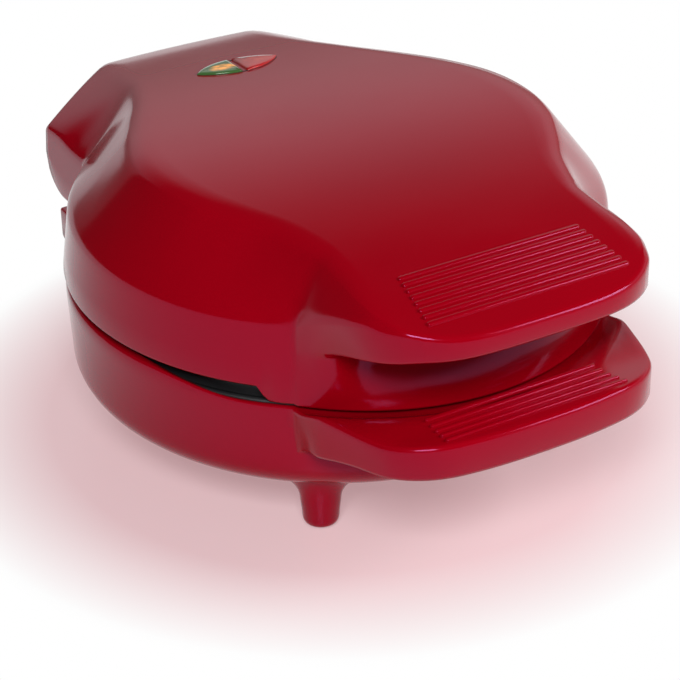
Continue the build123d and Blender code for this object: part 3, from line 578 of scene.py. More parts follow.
def lid_skin():
    """Outside of the lid: a grid for its upper face, with rings of faces down its walls."""
    side = lid_side()
    outer = [(x, y) for x, y, _ in side]
    inner = inset_line(outer, EDGE)
    middle = lid_rows(inner)
    half = PANEL_COLUMNS + FACET_COLUMNS
    columns, rows = 2 * half, len(side) - 1
    corner_x = outer[0][0]

    def row_y(row, x):
        edge_x, edge_y = inner[row]
        share = min(x / edge_x, 1.0)
        if edge_y < 0:
            near, far = lid_front_edge(0), lid_front_edge(corner_x)
            bent = (lid_front_edge(share * corner_x) - near) / (far - near)
        else:
            bent = (HOOD_REAR - lid_rear_edge(share * WING_X)) / (HOOD_REAR - WING_REAR)
        return middle[row] + (edge_y - middle[row]) * bent

    def plan(column, row):
        k = abs(column - half)
        edge_x = inner[row][0]
        fold = crease(row_y(row, min(crease(middle[row]), edge_x)))
        fold = min(fold, edge_x - LEAST_FACET)
        x = fold * k / PANEL_COLUMNS
        if k > PANEL_COLUMNS:
            x = fold + (edge_x - fold) * (k - PANEL_COLUMNS) / FACET_COLUMNS
        return x, row_y(row, x)

    def crest_place(column, row):
        x, y = plan(column, row)
        if column in (0, columns):
            return side[row]
        if row == 0:
            x = x * corner_x / inner[0][0]
            return x, lid_front_edge(x), "grip"
        x = min(x + hood_lean(x) * EDGE, WING_X)
        return x, lid_rear_edge(x), "hood"

    bm = bmesh.new()
    bmesh.ops.create_grid(bm, x_segments=columns, y_segments=rows, size=0.5)
    where = {}
    for vert in bm.verts:
        column, row = round((vert.co.x + 0.5) * columns), round((vert.co.y + 0.5) * rows)
        x, y = plan(column, row)
        vert.co = Vector((-x if column < half else x, y, top_height(x, y)))
        where[column, row] = vert
    keys = [(c, 0) for c in range(columns + 1)] + [(columns, r) for r in range(1, rows + 1)]
    keys += [(c, rows) for c in range(columns - 1, -1, -1)] + [(0, r) for r in range(rows - 1, 0, -1)]
    walls = []
    for column, row in keys:
        x, y, kind = crest_place(column, row)
        crest = Vector((x, y, top_height(x, y)))
        down = COLUMNS[kind](*crest)
        start = where[column, row].co.copy()
        start.x = abs(start.x)
        bends = [bend(start, crest, down[0], share) for share in QUARTERS]
        walls.append(mirrored(bends + down, column < half))
    loop = [where[key] for key in keys]
    for ring in zip(*walls):
        loop = add_ring(bm, loop, ring)
    face_out(bm, Vector((0, 0, 80)))
    return bm


def lid_back_wall(thickness):
    """Round wall of the lid under the hood, with its thickness."""
    bm = bmesh.new()
    start, end = atan2(WING_ROOT_Y, WING_X), atan2(WING_FRONT, -WING_X)
    faces = []
    for inset in (0, thickness):
        radii = [drum(z) - inset for z in BACK_WALL_LEVELS]
        places = [(r * cos(start), r * sin(start), z) for r, z in zip(radii, BACK_WALL_LEVELS)]
        faces.append([bm.verts.new(place) for place in places])
    profile = bm.faces.new(faces[0] + faces[1][::-1])
    bmesh.ops.spin(
        bm,
        geom=[profile],
        cent=(0, 0, 0),
        axis=(0, 0, 1),
        dvec=(0, 0, 0),
        angle=end - start,
        steps=60,
        use_duplicate=False,
    )
    bmesh.ops.remove_doubles(bm, verts=bm.verts, dist=0.001)
    solid_out(bm)
    return bm


def lower_top(x, y):
    """Height of the lower grip: level with the rim at the lid's bulge, then rising to the lip."""
    beyond = hypot(x, y - BULGE_Y) - BULGE_R
    rise = GRIP_RISE * smoothstep((beyond - GRIP_RISE_START) / GRIP_RISE_RUN)
    return BASE_RIM_Z + rise + LIP_RISE * smoothstep((LIP_RISE_START - y) / LIP_RISE_RUN)


def base_side():
    """Right half of the base's outline from the front to the rear, with the kind of each point."""
    rx, ry = LOWER_SIDE[-1]
    low = degrees(atan2(ry, rx))
    points = [(x, y, "grip") for x, y in smooth_line(LOWER_SIDE, LID_STEP)[:-1]]
    points += [(x, y, "round") for x, y in turn((0, 0), BASE_RIM_R, low, 90, BASE_STEP)]
    return points + [(0.0, BASE_RIM_R, "round")]


def base_radius(z):
    """Radius of the base's side at a height."""
    return BASE_RIM_R - (BASE_RIM_R - BASE_FLOOR_R) * (BASE_RIM_Z - z) / (BASE_RIM_Z - BASE_FLOOR_Z)


def base_wall(way, z):
    """Point of the base's side in a direction from the middle; the low rear is cut off flat."""
    place = Vector((way.x * base_radius(z), way.y * base_radius(z), z))
    if z < UNDERCUT_Z:
        place.y = min(place.y, UNDERCUT_Y)
    return place


def lower_grip_side(way, crest):
    """Down the side of the lower grip, back under it, and onto the side of the base."""
    x, y, _ = crest
    low = spline(LOWER_LOW, y)
    meet = base_wall(way, low)
    for _ in range(3):
        meet = base_wall(way, spline(LOWER_LOW, meet.y))
    run = hypot(x - meet.x, y - meet.y)
    above, corner = Vector((x, y, low + LOWER_EDGE)), Vector((x, y, low))
    under = corner.lerp(meet, min(LOWER_EDGE, 0.3 * run) / max(run, 0.01))
    foot = base_wall(way, BLEND_Z)
    share = smoothstep((BLEND_START - y) / BLEND_RUN)
    points = []
    for point in (above, bend(above, corner, under, 0.5), under, meet):
        down = min((crest.z - point.z) / (crest.z - BLEND_Z), 1.0)
        plain = Vector((x, y, point.z)).lerp(Vector((foot.x, foot.y, point.z)), down)
        points.append(plain.lerp(point, share))
    return points + [base_wall(way, meet.z - LOW_EDGE), base_wall(way, meet.z - 2 * LOW_EDGE)]


def base_column(kind, x, y):
    """Points from the land round the rim, over the edge and down to the floor of the base."""
    way = Vector((x, y)).normalized()
    edge = EDGE if kind == "grip" else BASE_RIM_EDGE
    near = hypot(x, y) - edge
    column = []
    for share in LAND_SHARES:
        radius = LAND_R + (near - LAND_R) * share
        place = way * radius
        column.append(Vector((place.x, place.y, lower_top(place.x, place.y))))
    crest = Vector((x, y, lower_top(x, y)))
    if kind == "grip":
        below = Vector((x, y, crest.z - edge))
        side = lower_grip_side(way, crest)
    else:
        below = base_wall(way, BASE_RIM_Z - edge)
        side = [base_wall(way, z) for z in BASE_LEVELS]
    column += [bend(column[-1], crest, below, share) for share in QUARTERS] + [below] + side
    low = column[-1].z
    end = BASE_FLOOR_Z + BASE_ROUND
    column += [base_wall(way, low - (low - end - 0.8) * share) for share in (0.45, 0.8)]
    centre_r = BASE_FLOOR_R - BASE_ROUND
    for angle in range(0, 91, 10):
        across, down = cos(radians(angle)), sin(radians(angle))
        radius = centre_r + (BASE_ROUND + base_radius(end) - BASE_FLOOR_R) * across
        z = end - BASE_ROUND * down
        back = min(way.y * radius, UNDERCUT_Y - UNDERCUT_SLOPE * (end - z))
        column.append(Vector((way.x * radius, back, z)))
    column.append(Vector((way.x * FLOOR_R, way.y * FLOOR_R, BASE_FLOOR_Z)))
    return column


def base_skin():
    """Outside of the base, from the land round its rim to the middle of its floor."""
    half = base_side()
    outline = [(x, y, kind, False) for x, y, kind in half]
    outline += [(x, y, kind, True) for x, y, kind in half[-2:0:-1]]
    bm = bmesh.new()
    land, walls = [], []
    for x, y, kind, flip in outline:
        way = Vector((-x if flip else x, y)).normalized() * LAND_R
        land.append(Vector((way.x, way.y, BASE_RIM_Z)))
        walls.append(mirrored(base_column(kind, x, y), flip))
    loop = start_loop(bm, land)
    for ring in zip(*walls):
        loop = add_ring(bm, loop, ring)
    bm.faces.new(loop)
    face_out(bm, Vector((0, 0, 45)))
    return bm


def underside(x, y):
    """Height of the underside of the base."""
    beyond = hypot(x, y) - (BASE_FLOOR_R - BASE_ROUND)
    if beyond <= 0:
        return BASE_FLOOR_Z
    return BASE_FLOOR_Z + BASE_ROUND - sqrt(max(BASE_ROUND**2 - beyond**2, 0))


def add_foot(bm, way):
    """Adds one round foot, from its tip up to its flare into the underside of the base."""
    middle_x, middle_y = FOOT_R * cos(way), FOOT_R * sin(way)
    angles = [2 * pi * k / 56 for k in range(56)]

    def place(angle, radius, z):
        return Vector((middle_x + radius * cos(angle), middle_y + radius * sin(angle), z))

    loop = start_loop(bm, [place(angle, *FOOT_TIP) for angle in angles])
    bm.faces.new(loop)
    for radius, z in FOOT_RINGS:
        loop = add_ring(bm, loop, [place(angle, radius, z) for angle in angles])
    neck, neck_z = FLARE_START
    for k in range(FLARE_STEPS + 1):
        share = radians(90 * k / FLARE_STEPS)
        ring = []
        for angle in angles:
            outward = 0.5 + 0.5 * cos(angle - way)
            flare = FLARE - FLARE_LESS * outward**4
            last = place(angle, neck + flare, 0)
            top = underside(last.x, last.y)
            z = top + FLARE_SINK - (top - neck_z) * (1 - sin(share))
            ring.append(place(angle, neck + flare * (1 - cos(share)), z))
        loop = add_ring(bm, loop, ring)
    bm.faces.new(loop[::-1])


def feet():
    """Four round feet that flare into the underside of the base."""
    bm = bmesh.new()
    for way in (-90 - FOOT_TURN, -90 + FOOT_TURN, 90 - FOOT_TURN, 90 + FOOT_TURN):
        add_foot(bm, radians(way))
    solid_out(bm)
    return bm


def rim_shade_ring():
    """Dark ring that lies on the rim of the base, seen in the gap under the lid: painted shade of that gap.
    """
    bm = bmesh.new()
    corners = [bm.verts.new((radius, 0, z)) for radius, z in SHADE_RING]
    sides = [bm.edges.new(pair) for pair in zip(corners, corners[1:] + corners[:1])]
    bmesh.ops.spin(
        bm,
        geom=corners + sides,
        cent=(0, 0, 0),
        axis=(0, 0, 1),
        angle=2 * pi,
        steps=144,
        use_merge=True,
        use_duplicate=False,
    )
    bmesh.ops.remove_doubles(bm, verts=bm.verts, dist=0.001)
    solid_out(bm)
    return bm


def add_block(bm, profile, low, high, rounding):
    """Adds a bevelled solid: a profile in Y and Z, from one x to another."""
    before = set(bm.verts)
    face = bm.faces.new([bm.verts.new((low, y, z)) for y, z in profile])
    made = bmesh.ops.extrude_face_region(bm, geom=[face])["geom"]
    moved = [v for v in made if isinstance(v, bmesh.types.BMVert)]
    bmesh.ops.translate(bm, verts=moved, vec=(high - low, 0, 0))
    fresh = [v for v in bm.verts if v not in before]
    edges = {e for v in fresh for e in v.link_edges if e.calc_face_angle(0) > SHARP}
    bmesh.ops.bevel(
        bm, geom=list(edges), offset=rounding, affect="EDGES", segments=3, profile=0.5, material=-1
    )


def hinge_blocks():
    """Rear corner blocks of the base and the knuckles that stand on them."""
    bm = bmesh.new()
    angles = [radians(angle) for angle in range(-74, 181, 12)]
    arc = [(HINGE_Y + KNUCKLE_R * cos(a), KNUCKLE_Z + KNUCKLE_R * sin(a)) for a in angles]
    for hand in (-1, 1):
        add_block(bm, BLOCK_PROFILE, *sorted(hand * x for x in BLOCK_X), BLOCK_ROUND)
        add_block(bm, (*KNUCKLE_FOOT, *arc), *sorted(hand * x for x in KNUCKLE_X), KNUCKLE_ROUND)
    solid_out(bm)
    return bm


def add_rib(bm, y, half_length, width, height, surface):
    """Adds one raised rib with round ends that follows a surface."""
    count = 40
    angles = [2 * pi * (k + 0.5) / count for k in range(count)]
    half = width / 2

    def outline(size, lift):
        places = []
        for angle in angles:
            end = half_length - half
            x = size * cos(angle) + (end if cos(angle) > 0 else -end)
            at = y + size * sin(angle)
            places.append(Vector((x, at, surface(x, at) + lift)))
        return places

    loop = start_loop(bm, outline(half, -RIB_SINK))
    bm.faces.new(loop[::-1])
    for share, lift in RIB_RINGS:
        loop = add_ring(bm, loop, outline(share * half, lift * height))
    bm.faces.new(loop)


def grip_ribs(layout, sizes, surface):
    """All ribs of one grip, each a little longer than the one behind it."""
    count, first, pitch, half_length = layout
    width, height = sizes.rib_width / MM, sizes.rib_height / MM
    bm = bmesh.new()
    for k in range(count):
        add_rib(bm, first - pitch * k, half_length + RIB_LONGER * k, width, height, surface)
    solid_out(bm)
    return bm


def window_arc(sizes):
    """Half the window's length, the radius of its two arcs, and how far their centres lie off."""
    length, width = sizes.window_length / MM, sizes.window_width / MM
    radius = (length**2 + width**2) / (4 * width)
    return length / 2, radius, radius - width / 2


def on_lid(x, y, lift):
    """Point over the lid's upper face, with y from the middle of the window."""
    return Vector((x, WINDOW_Y + y, top_height(x, WINDOW_Y + y) + lift))


def window_line(sizes):
    """Dark parting line round the lamp window: a thin band whose dark colour is painted shade of the gap
    between the lenses and the lid.
    """
    bm = bmesh.new()
    half = 48
    tip, radius, shift = window_arc(sizes)
    span = atan2(tip, shift)

    def outline(grow, lift):
        places = []
        for k in range(2 * half):
            angle = span * (1 - 2 * (k % half) / half)
            x = (radius + grow) * sin(angle)
            y = (radius + grow) * cos(angle) - shift
            hand = -1 if k >= half else 1
            places.append(on_lid(hand * x, hand * y, lift))
        return places

    loop = start_loop(bm, outline(*LINE_RINGS[0]))
    for grow, lift in LINE_RINGS[1:]:
        loop = add_ring(bm, loop, outline(grow, lift))
    bmesh.ops.recalc_face_normals(bm, faces=bm.faces)
    return bm


def lens(hand, sizes):
    """One half of the lamp window, a low dome with a slanted joint to its neighbour."""
    bm = bmesh.new()
    tip, radius, shift = window_arc(sizes)
    outline = []
    for k in range(37):
        angle = pi * (k / 36 - 0.5)
        x = tip * cos(angle)
        y = (sqrt(radius**2 - x * x) - shift) * (1 if sin(angle) >= 0 else -1)
        joint = JOINT_SLANT * y + hand * JOINT_GAP
        outline.append((hand * max(x, hand * joint), y))
    (x0, y0), (x1, y1) = outline[-1], outline[0]
    outline += [(x0 + (x1 - x0) * k / 12, y0 + (y1 - y0) * k / 12) for k in range(1, 12)]
    centre = hand * LENS_X

    def ring(share, lift):
        return [on_lid(centre + (x - centre) * share, y * share, lift) for x, y in outline]

    loop = start_loop(bm, ring(1.0, -LENS_SINK))
    for share, lift in LENS_DOME:
        loop = add_ring(bm, loop, ring(share, lift))
    bm.faces.new(loop)
    face_out(bm, Vector((centre, WINDOW_Y, top_height(0, WINDOW_Y) - 20)))
    return bm


class Value:
    """Output of a shader node that takes part in expressions through Math nodes."""

    def __init__(self, graph, socket):
        self.graph = graph
        self.socket = socket

    def maths(self, operation, first, second):
        """One Math node on two values or numbers."""
        return self.graph.node("ShaderNodeMath", {"operation": operation}, {0: first, 1: second})

    def __add__(self, other):
        return self.maths("ADD", self, other)

    __radd__ = __add__

    def __mul__(self, other):
        return self.maths("MULTIPLY", self, other)

    __rmul__ = __mul__

    def __sub__(self, other):
        return self.maths("SUBTRACT", self, other)

    def __rsub__(self, other):
        return self.maths("SUBTRACT", other, self)

    def __truediv__(self, other):
        return self.maths("DIVIDE", self, other)

    def __rtruediv__(self, other):
        return self.maths("DIVIDE", other, self)

    def or_more(self, other):
        """The greater of two values."""
        return self.maths("MAXIMUM", self, other)


class Graph:
    """A node tree that is built node by node."""

    def __init__(self, tree):
        self.tree = tree
        self.tree.nodes.clear()

    def node(self, kind, settings=None, inputs=None, output=0):
        """Adds a node of a kind, with its settings first and then its sockets' values or links."""
        node = self.tree.nodes.new(kind)
        for key, value in (settings or {}).items():
            setattr(node, key, value)
        for key, value in (inputs or {}).items():
            self.feed(node.inputs[key], value)
        if node.outputs:
            return Value(self, node.outputs[output])
        return None

    def feed(self, socket, value):
        """Links a value to a socket, or sets the socket to a number or a colour."""
        if isinstance(value, Value):
            self.tree.links.new(value.socket, socket)
        else:
            socket.default_value = value

    def spread(self, value, low, high, to_low, to_high, kind="LINEAR"):
        """Maps a stretch of a value to another, held at its ends."""
        names = ("From Min", "From Max", "To Min", "To Max")
        inputs = dict(zip(names, (low, high, to_low, to_high)))
        inputs["Value"] = value
        return self.node("ShaderNodeMapRange", {"interpolation_type": kind}, inputs)


class Finish(Graph):
    """A material that is built around one Principled shader."""

    def __init__(self, name, **sockets):
        self.material = bpy.data.materials.new(name)
        self.material.use_nodes = True
        super().__init__(self.material.node_tree)
        self.out = self.tree.nodes.new("ShaderNodeOutputMaterial")
        self.shader = self.tree.nodes.new("ShaderNodeBsdfPrincipled")
        self.tree.links.new(self.shader.outputs[0], self.out.inputs["Surface"])
        self.place = self.node("ShaderNodeTexCoord", output="Object")
        self.set(**sockets)

    def set(self, **sockets):
        """Sets the shader's sockets, written with underscores for spaces."""
        for key, value in sockets.items():
            self.feed(self.shader.inputs[key.replace("_", " ")], value)

    def noise(self, scale, detail=3.0, stretch=None):
        """Noise over the piece, finer along the axes with a greater stretch."""
        place = self.place
        if stretch:
            place = self.node("ShaderNodeMapping", inputs={"Vector": place, "Scale": stretch})
        return self.node("ShaderNodeTexNoise", inputs={"Vector": place, "Scale": scale, "Detail": detail})

    def patches(self, value, low=0.3, high=0.7):
        """Share from 0 to 1 over the middle of a noise."""
        return self.spread(value, low, high, 0.0, 1.0)

    def mix(self, share, first, second):
        """Mix of two colours."""
        return self.node("ShaderNodeMix", {"data_type": "RGBA"}, {0: share, 6: first, 7: second}, output=2)

    def bump(self, height, strength, distance):
        """Normal that follows a height."""
        inputs = {"Strength": strength, "Distance": distance, "Height": height}
        return self.node("ShaderNodeBump", inputs=inputs)


def tint(colour, share):
    """A colour made lighter or darker, with full alpha."""
    return tuple(min(c * share, 1.0) for c in colour[:3]) + (1.0,)


def gloss_red(colour):
    """Glossy moulded ABS, with a faint flow of colour, fine dust and a hint of orange peel."""
    f = Finish("gloss_red_plastic", IOR=1.49, Specular_IOR_Level=0.27, Specular_Tint=(1.0, 0.4, 1.0, 1.0))
    flow = f.noise(9.0, 2.0)
    f.set(Base_Color=f.mix(f.patches(flow), tint(colour, 0.94), tint(colour, 1.05)))
    dust = f.noise(2600.0, 2.0)
    smear = f.noise(28.0, 4.0, (1.0, 2.2, 1.0))
    f.set(Roughness=f.spread(smear, 0.35, 0.7, 0.0, 0.05) + f.spread(dust, 0.66, 0.74, 0.11, 0.17))
    peel = f.noise(380.0, 1.0)
    f.set(Normal=f.bump(peel, 0.02, 0.0002))


def matt(name, colour, scale=2200.0, roughness=0.55):
    """Fine-grained moulded plastic, rubber or sleeving."""
    f = Finish(name)
    grain = f.noise(scale, 2.0)
    worn = f.noise(30.0, 4.0)
    f.set(Base_Color=f.mix(f.patches(worn), tint(colour, 0.8), tint(colour, 1.25)))
    f.set(Roughness=f.spread(grain, 0.3, 0.7, roughness - 0.08, roughness + 0.08))
    f.set(Normal=f.bump(grain, 0.25, 0.0002))


def nonstick():
    """Dark non-stick coat with its fine fleck, over cast aluminium."""
    f = Finish("nonstick_coat", IOR=1.5)
    fleck = f.noise(1500.0, 2.0)
    cast = f.noise(60.0, 4.0)
    dark = f.mix(f.patches(cast), (0.022, 0.022, 0.023, 1), (0.036, 0.036, 0.038, 1))
    f.set(Base_Color=f.mix(f.patches(fleck, 0.7, 0.76), dark, (0.14, 0.14, 0.14, 1)))
    f.set(Roughness=f.spread(cast, 0.3, 0.7, 0.34, 0.46))
    f.set(Normal=f.bump(f.noise(420.0, 3.0), 0.12, 0.0003))


def metal(name, colour, roughness, stretch, heat=0.0):
    """Drawn, turned or rolled metal with grain along one way and a little heat colour."""
    f = Finish(name, Metallic=1.0)
    grain = f.noise(160.0, 3.0, stretch)
    stain = f.noise(24.0, 3.0)
    warm = f.mix(f.spread(stain, 0.42, 0.75, 0.0, heat), tint(colour, 1.0), (0.36, 0.23, 0.14, 1))
    f.set(Base_Color=f.mix(f.patches(grain), warm, tint(colour, 0.82)))
    f.set(Roughness=f.spread(grain, 0.3, 0.7, roughness - 0.06, roughness + 0.08))
    f.set(Normal=f.bump(grain, 0.12, 0.0001))


def lens_finish(name, colour, glow, spot, strength):
    """Clear coloured plastic over a lamp, whose light shows as a warm spot with facets."""
    f = Finish(name, IOR=1.49)
    across, along = (f.node("ShaderNodeSeparateXYZ", inputs={0: f.place}, output=k) for k in range(2))
    dx, dy = (across - spot[0]) / 0.0068, (along - spot[1]) / 0.0046
    near = f.spread(dx * dx + dy * dy, 0.0, 1.0, 1.0, 0.0)
    cut = f.node("ShaderNodeTexVoronoi", {"feature": "F1"}, {"Vector": f.place, "Scale": 330.0})
    lit = near * f.spread(cut, 0.1, 0.75, 1.0, 0.25)
    body = f.mix(f.patches(f.noise(90.0, 2.0)), tint(colour, 0.75), tint(colour, 1.2))
    f.set(Base_Color=f.mix(lit, body, glow))
    f.set(Emission_Color=f.mix(lit, tint(colour, 0.25), glow), Emission_Strength=strength)
    f.set(Roughness=f.spread(f.noise(900.0, 2.0), 0.3, 0.7, 0.08, 0.16))


def lamp_glass():
    """Thin tinted glass of the two small lamps."""
    f = Finish("lamp_glass", Alpha=0.55, IOR=1.45)
    haze = f.noise(300.0, 2.0)
    f.set(Base_Color=f.mix(haze, (0.9, 0.5, 0.25, 1), (0.95, 0.75, 0.55, 1)))
    f.set(Roughness=f.spread(haze, 0.3, 0.7, 0.04, 0.12))


# Finish of each carried-over part; the ones that aren't named are screws
PART_FINISHES = {
    "gloss_red_plastic": ("lid_shell", "lower_shell"),
    "frame_black_plastic": ("upper_frame", "lower_frame"),
    "nonstick_coat": ("upper_plate", "lower_plate"),
    "heater_steel": ("upper_element", "lower_element"),
    "shield_steel": ("upper_heat_shield", "lower_heat_shield"),
    "pin_steel": ("left_hinge_pin", "right_hinge_pin"),
    "foot_rubber": ("foot_pads", "cord_bush"),
    "green_lens_plastic": ("green_lens",),
    "red_lens_plastic": ("red_lens",),
    "lamp_bracket_plastic": ("lamp_holder",),
    "lamp_glass": ("ready_lamp", "power_lamp"),
    "wire_sleeve": ("base_wires", "lid_wires"),
    "thermostat_case": ("thermostat",),
    "fuse_case": ("thermal_fuse",),
    "brass_tag": ("earth_tag",),
    "terminal_plastic": ("terminal_block",),
}


class WaffleColours(bpy.types.PropertyGroup):
    """Colours of the machine that a user would change."""

    red: FloatVectorProperty(
        name="Plastic",
        description="Colour of the two shells",
        subtype="COLOR",
        min=0,
        max=1,
        default=(0.30, 0.0, 0.0055),
    )
    frame_black: FloatVectorProperty(
        name="Plate frames",
        description="Colour of the rings round the plates",
        subtype="COLOR",
        min=0,
        max=1,
        default=(0.02, 0.02, 0.022),
    )
    green: FloatVectorProperty(
        name="Ready lens",
        description="Colour of the left half of the window",
        subtype="COLOR",
        min=0,
        max=1,
        default=(0.045, 0.11, 0.03),
    )
    amber: FloatVectorProperty(
        name="Lamp glow",
        description="Colour of the lit lamp",
        subtype="COLOR",
        min=0,
        max=1,
        default=(1.0, 0.33, 0.03),
    )


class WaffleSizes(bpy.types.PropertyGroup):
    """Sizes of the machine that a user would change."""

    wall: FloatProperty(
        name="Wall", description="Thickness of the two shells", unit="LENGTH", default=0.0025, min=0.001
    )
    rib_width: FloatProperty(
        name="Rib width", description="Width of a rib of the grips", unit="LENGTH", default=0.0022
    )
    rib_height: FloatProperty(
        name="Rib height", description="Height of a rib of the grips", unit="LENGTH", default=0.001
    )
    window_length: FloatProperty(
        name="Window length", description="Length of the lamp window", unit="LENGTH", default=0.037
    )
    window_width: FloatProperty(
        name="Window width", description="Width of the lamp window", unit="LENGTH", default=0.0185
    )


class WaffleStudio(bpy.types.PropertyGroup):
    """Camera, floor and lamps."""

    camera_place: FloatVectorProperty(
        name="Camera", description="Place of the camera", unit="LENGTH", default=(-0.3859, -0.6630, 0.4758)
    )
    lens: FloatProperty(
        name="Lens", description="Focal length on a 36 mm sensor, in millimetres", default=116.17, min=1
    )
    heading: FloatProperty(
        name="Heading", description="Turn of the camera from +Y to +X", subtype="ANGLE", default=0.52526
    )
    pitch: FloatProperty(
        name="Pitch", description="Tilt of the camera", subtype="ANGLE", default=-0.52814
    )
    roll: FloatProperty(
        name="Roll", description="Roll of the camera", subtype="ANGLE", default=-0.01352
    )
    backdrop_light: FloatProperty(
        name="Backdrop", description="Brightness of the card behind", default=0.9, min=0
    )
    room_light: FloatProperty(
        name="Room", description="Brightness of the dark room around", default=0.04, min=0
    )
    key_light: FloatProperty(
        name="Key lamp", description="Power of the main lamp", unit="POWER", default=17.0, min=0
    )
    fill_light: FloatProperty(
        name="Fill lamp", description="Power of the second lamp", unit="POWER", default=9.0, min=0
    )


class WAFFLE_OT_finishes(bpy.types.Operator):
    """Make the materials and give them to the carried-over parts"""

    bl_idname = "waffle.finishes"
    bl_label = "Finishes"

    def execute(self, context):
        colours = context.scene.waffle_colours
        gloss_red(tuple(colours.red))
        matt("frame_black_plastic", tuple(colours.frame_black), roughness=0.42)
        matt("foot_rubber", (0.02, 0.02, 0.02), 900.0, 0.75)
        # Nearly black red of the line round the lamp window: painted shade of the gap there.
        matt("window_gap", (0.03, 0.004, 0.006), 900.0, 0.6)
        matt("wire_sleeve", (0.62, 0.6, 0.54), 1200.0, 0.6)
        matt("lamp_bracket_plastic", (0.7, 0.69, 0.65), 1200.0, 0.5)
        matt("terminal_plastic", (0.75, 0.73, 0.68), 900.0, 0.45)
        nonstick()
        metal("heater_steel", (0.34, 0.32, 0.3), 0.4, (1.0, 1.0, 4.0), heat=0.9)
        metal("shield_steel", (0.62, 0.61, 0.6), 0.34, (0.2, 4.0, 1.0), heat=0.3)
        metal("screw_steel", (0.6, 0.6, 0.6), 0.3, (1.0, 1.0, 3.0))
        metal("pin_steel", (0.62, 0.62, 0.64), 0.22, (0.3, 4.0, 4.0))
        metal("thermostat_case", (0.66, 0.66, 0.67), 0.3, (1.0, 1.0, 3.0))
        metal("fuse_case", (0.6, 0.55, 0.46), 0.38, (0.4, 3.0, 3.0))
        metal("brass_tag", (0.72, 0.5, 0.2), 0.3, (0.4, 3.0, 1.0))
        lamp_glass()
        green, amber = tuple(colours.green), tuple(colours.amber) + (1.0,)
        lens_finish("green_lens_plastic", green, amber, (-0.007, 0.0835), 1.0)
        lens_finish("red_lens_plastic", (0.4, 0.012, 0.014), (0.6, 0.05, 0.03, 1), (0.0085, 0.0845), 0.1)
        finishes = {part: name for name, parts in PART_FINISHES.items() for part in parts}
        for part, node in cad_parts.items():
            node.data.materials.clear()
            node.data.materials.append(bpy.data.materials[finishes.get(part, "screw_steel")])
        return {"FINISHED"}


class WAFFLE_OT_lid(bpy.types.Operator):
    """Make the outside of the lid and its round rear wall"""

    bl_idname = "waffle.lid"
    bl_label = "Lid"

    def execute(self, context):
        wall = context.scene.waffle_sizes.wall
        finish, slot = "gloss_red_plastic", "red_plastic"
        new_piece(lid_skin(), "lid_outer_shell", finish, "lid", ("lid_shell",), wall)
        new_piece(lid_back_wall(wall / MM), "lid_rear_wall", finish, "lid")
        return {"FINISHED"}


class WAFFLE_OT_upper_ribs(bpy.types.Operator):
    """Make the ribs of the upper grip"""

    bl_idname = "waffle.upper_ribs"
    bl_label = "Upper grip ribs"

    def execute(self, context):
        ribs = grip_ribs(UPPER_RIBS, context.scene.waffle_sizes, top_height)
        new_piece(ribs, "upper_grip_ribs", "gloss_red_plastic", "lid")
        return {"FINISHED"}


class WAFFLE_OT_window(bpy.types.Operator):
    """Make the two lenses of the lamp window and the dark line of painted shade round them"""

    bl_idname = "waffle.window"
    bl_label = "Lamp window"

    def execute(self, context):
        sizes = context.scene.waffle_sizes
        new_piece(window_line(sizes), "window_painted_shade_line", "window_gap", "lid")
        green, red = lens(-1, sizes), lens(1, sizes)
        new_piece(green, "green_lens_dome", "green_lens_plastic", "lid", ("green_lens",))
        new_piece(red, "red_lens_dome", "red_lens_plastic", "lid", ("red_lens",))
        return {"FINISHED"}


class WAFFLE_OT_base(bpy.types.Operator):
    """Make the outside of the base"""

    bl_idname = "waffle.base"
    bl_label = "Base"

    def execute(self, context):
        wall = context.scene.waffle_sizes.wall
        finish, slot = "gloss_red_plastic", "red_plastic"
        new_piece(base_skin(), "base_outer_shell", finish, "base", ("lower_shell",), wall)
        return {"FINISHED"}


class WAFFLE_OT_feet(bpy.types.Operator):
    """Make the four feet"""

    bl_idname = "waffle.feet"
    bl_label = "Feet"

    def execute(self, context):
        new_piece(feet(), "flared_feet", "gloss_red_plastic", "base")
        return {"FINISHED"}


class WAFFLE_OT_shade_ring(bpy.types.Operator):
    """Make the dark ring on the rim of the base, painted shade of the gap under the lid"""

    bl_idname = "waffle.seal"
    bl_label = "Rim seal"

    def execute(self, context):
        # Frame black on the rim: painted shade of the gap under the lid.
        new_piece(rim_shade_ring(), "rim_shade_ring", "frame_black_plastic", "base")
        return {"FINISHED"}


class WAFFLE_OT_hinge(bpy.types.Operator):
    """Make the blocks and knuckles that hold the hinge"""

    bl_idname = "waffle.hinge"
    bl_label = "Hinge blocks"

    def execute(self, context):
        new_piece(hinge_blocks(), "hinge_blocks", "gloss_red_plastic", "base")
        return {"FINISHED"}


class WAFFLE_OT_lower_ribs(bpy.types.Operator):
    """Make the ribs of the lower grip"""

    bl_idname = "waffle.lower_ribs"
    bl_label = "Lower grip ribs"

    def execute(self, context):
        ribs = grip_ribs(LOWER_RIBS, context.scene.waffle_sizes, lower_top)
        new_piece(ribs, "lower_grip_ribs", "gloss_red_plastic", "base")
        return {"FINISHED"}


def add_lamp(name, place, power):
    """A soft lamp that points at the machine."""
    lamp = bpy.data.lights.new(name, "AREA")
    lamp.shape = "RECTANGLE"
    lamp.size, lamp.size_y = 0.6, 0.4
    lamp.energy = power
    holder = bpy.data.objects.new(name, lamp)
    holder.location = place
    aim = Vector((0, 0, 0.08)) - Vector(place)
    holder.rotation_euler = aim.to_track_quat("-Z", "Y").to_euler()
    bpy.context.scene.collection.objects.link(holder)


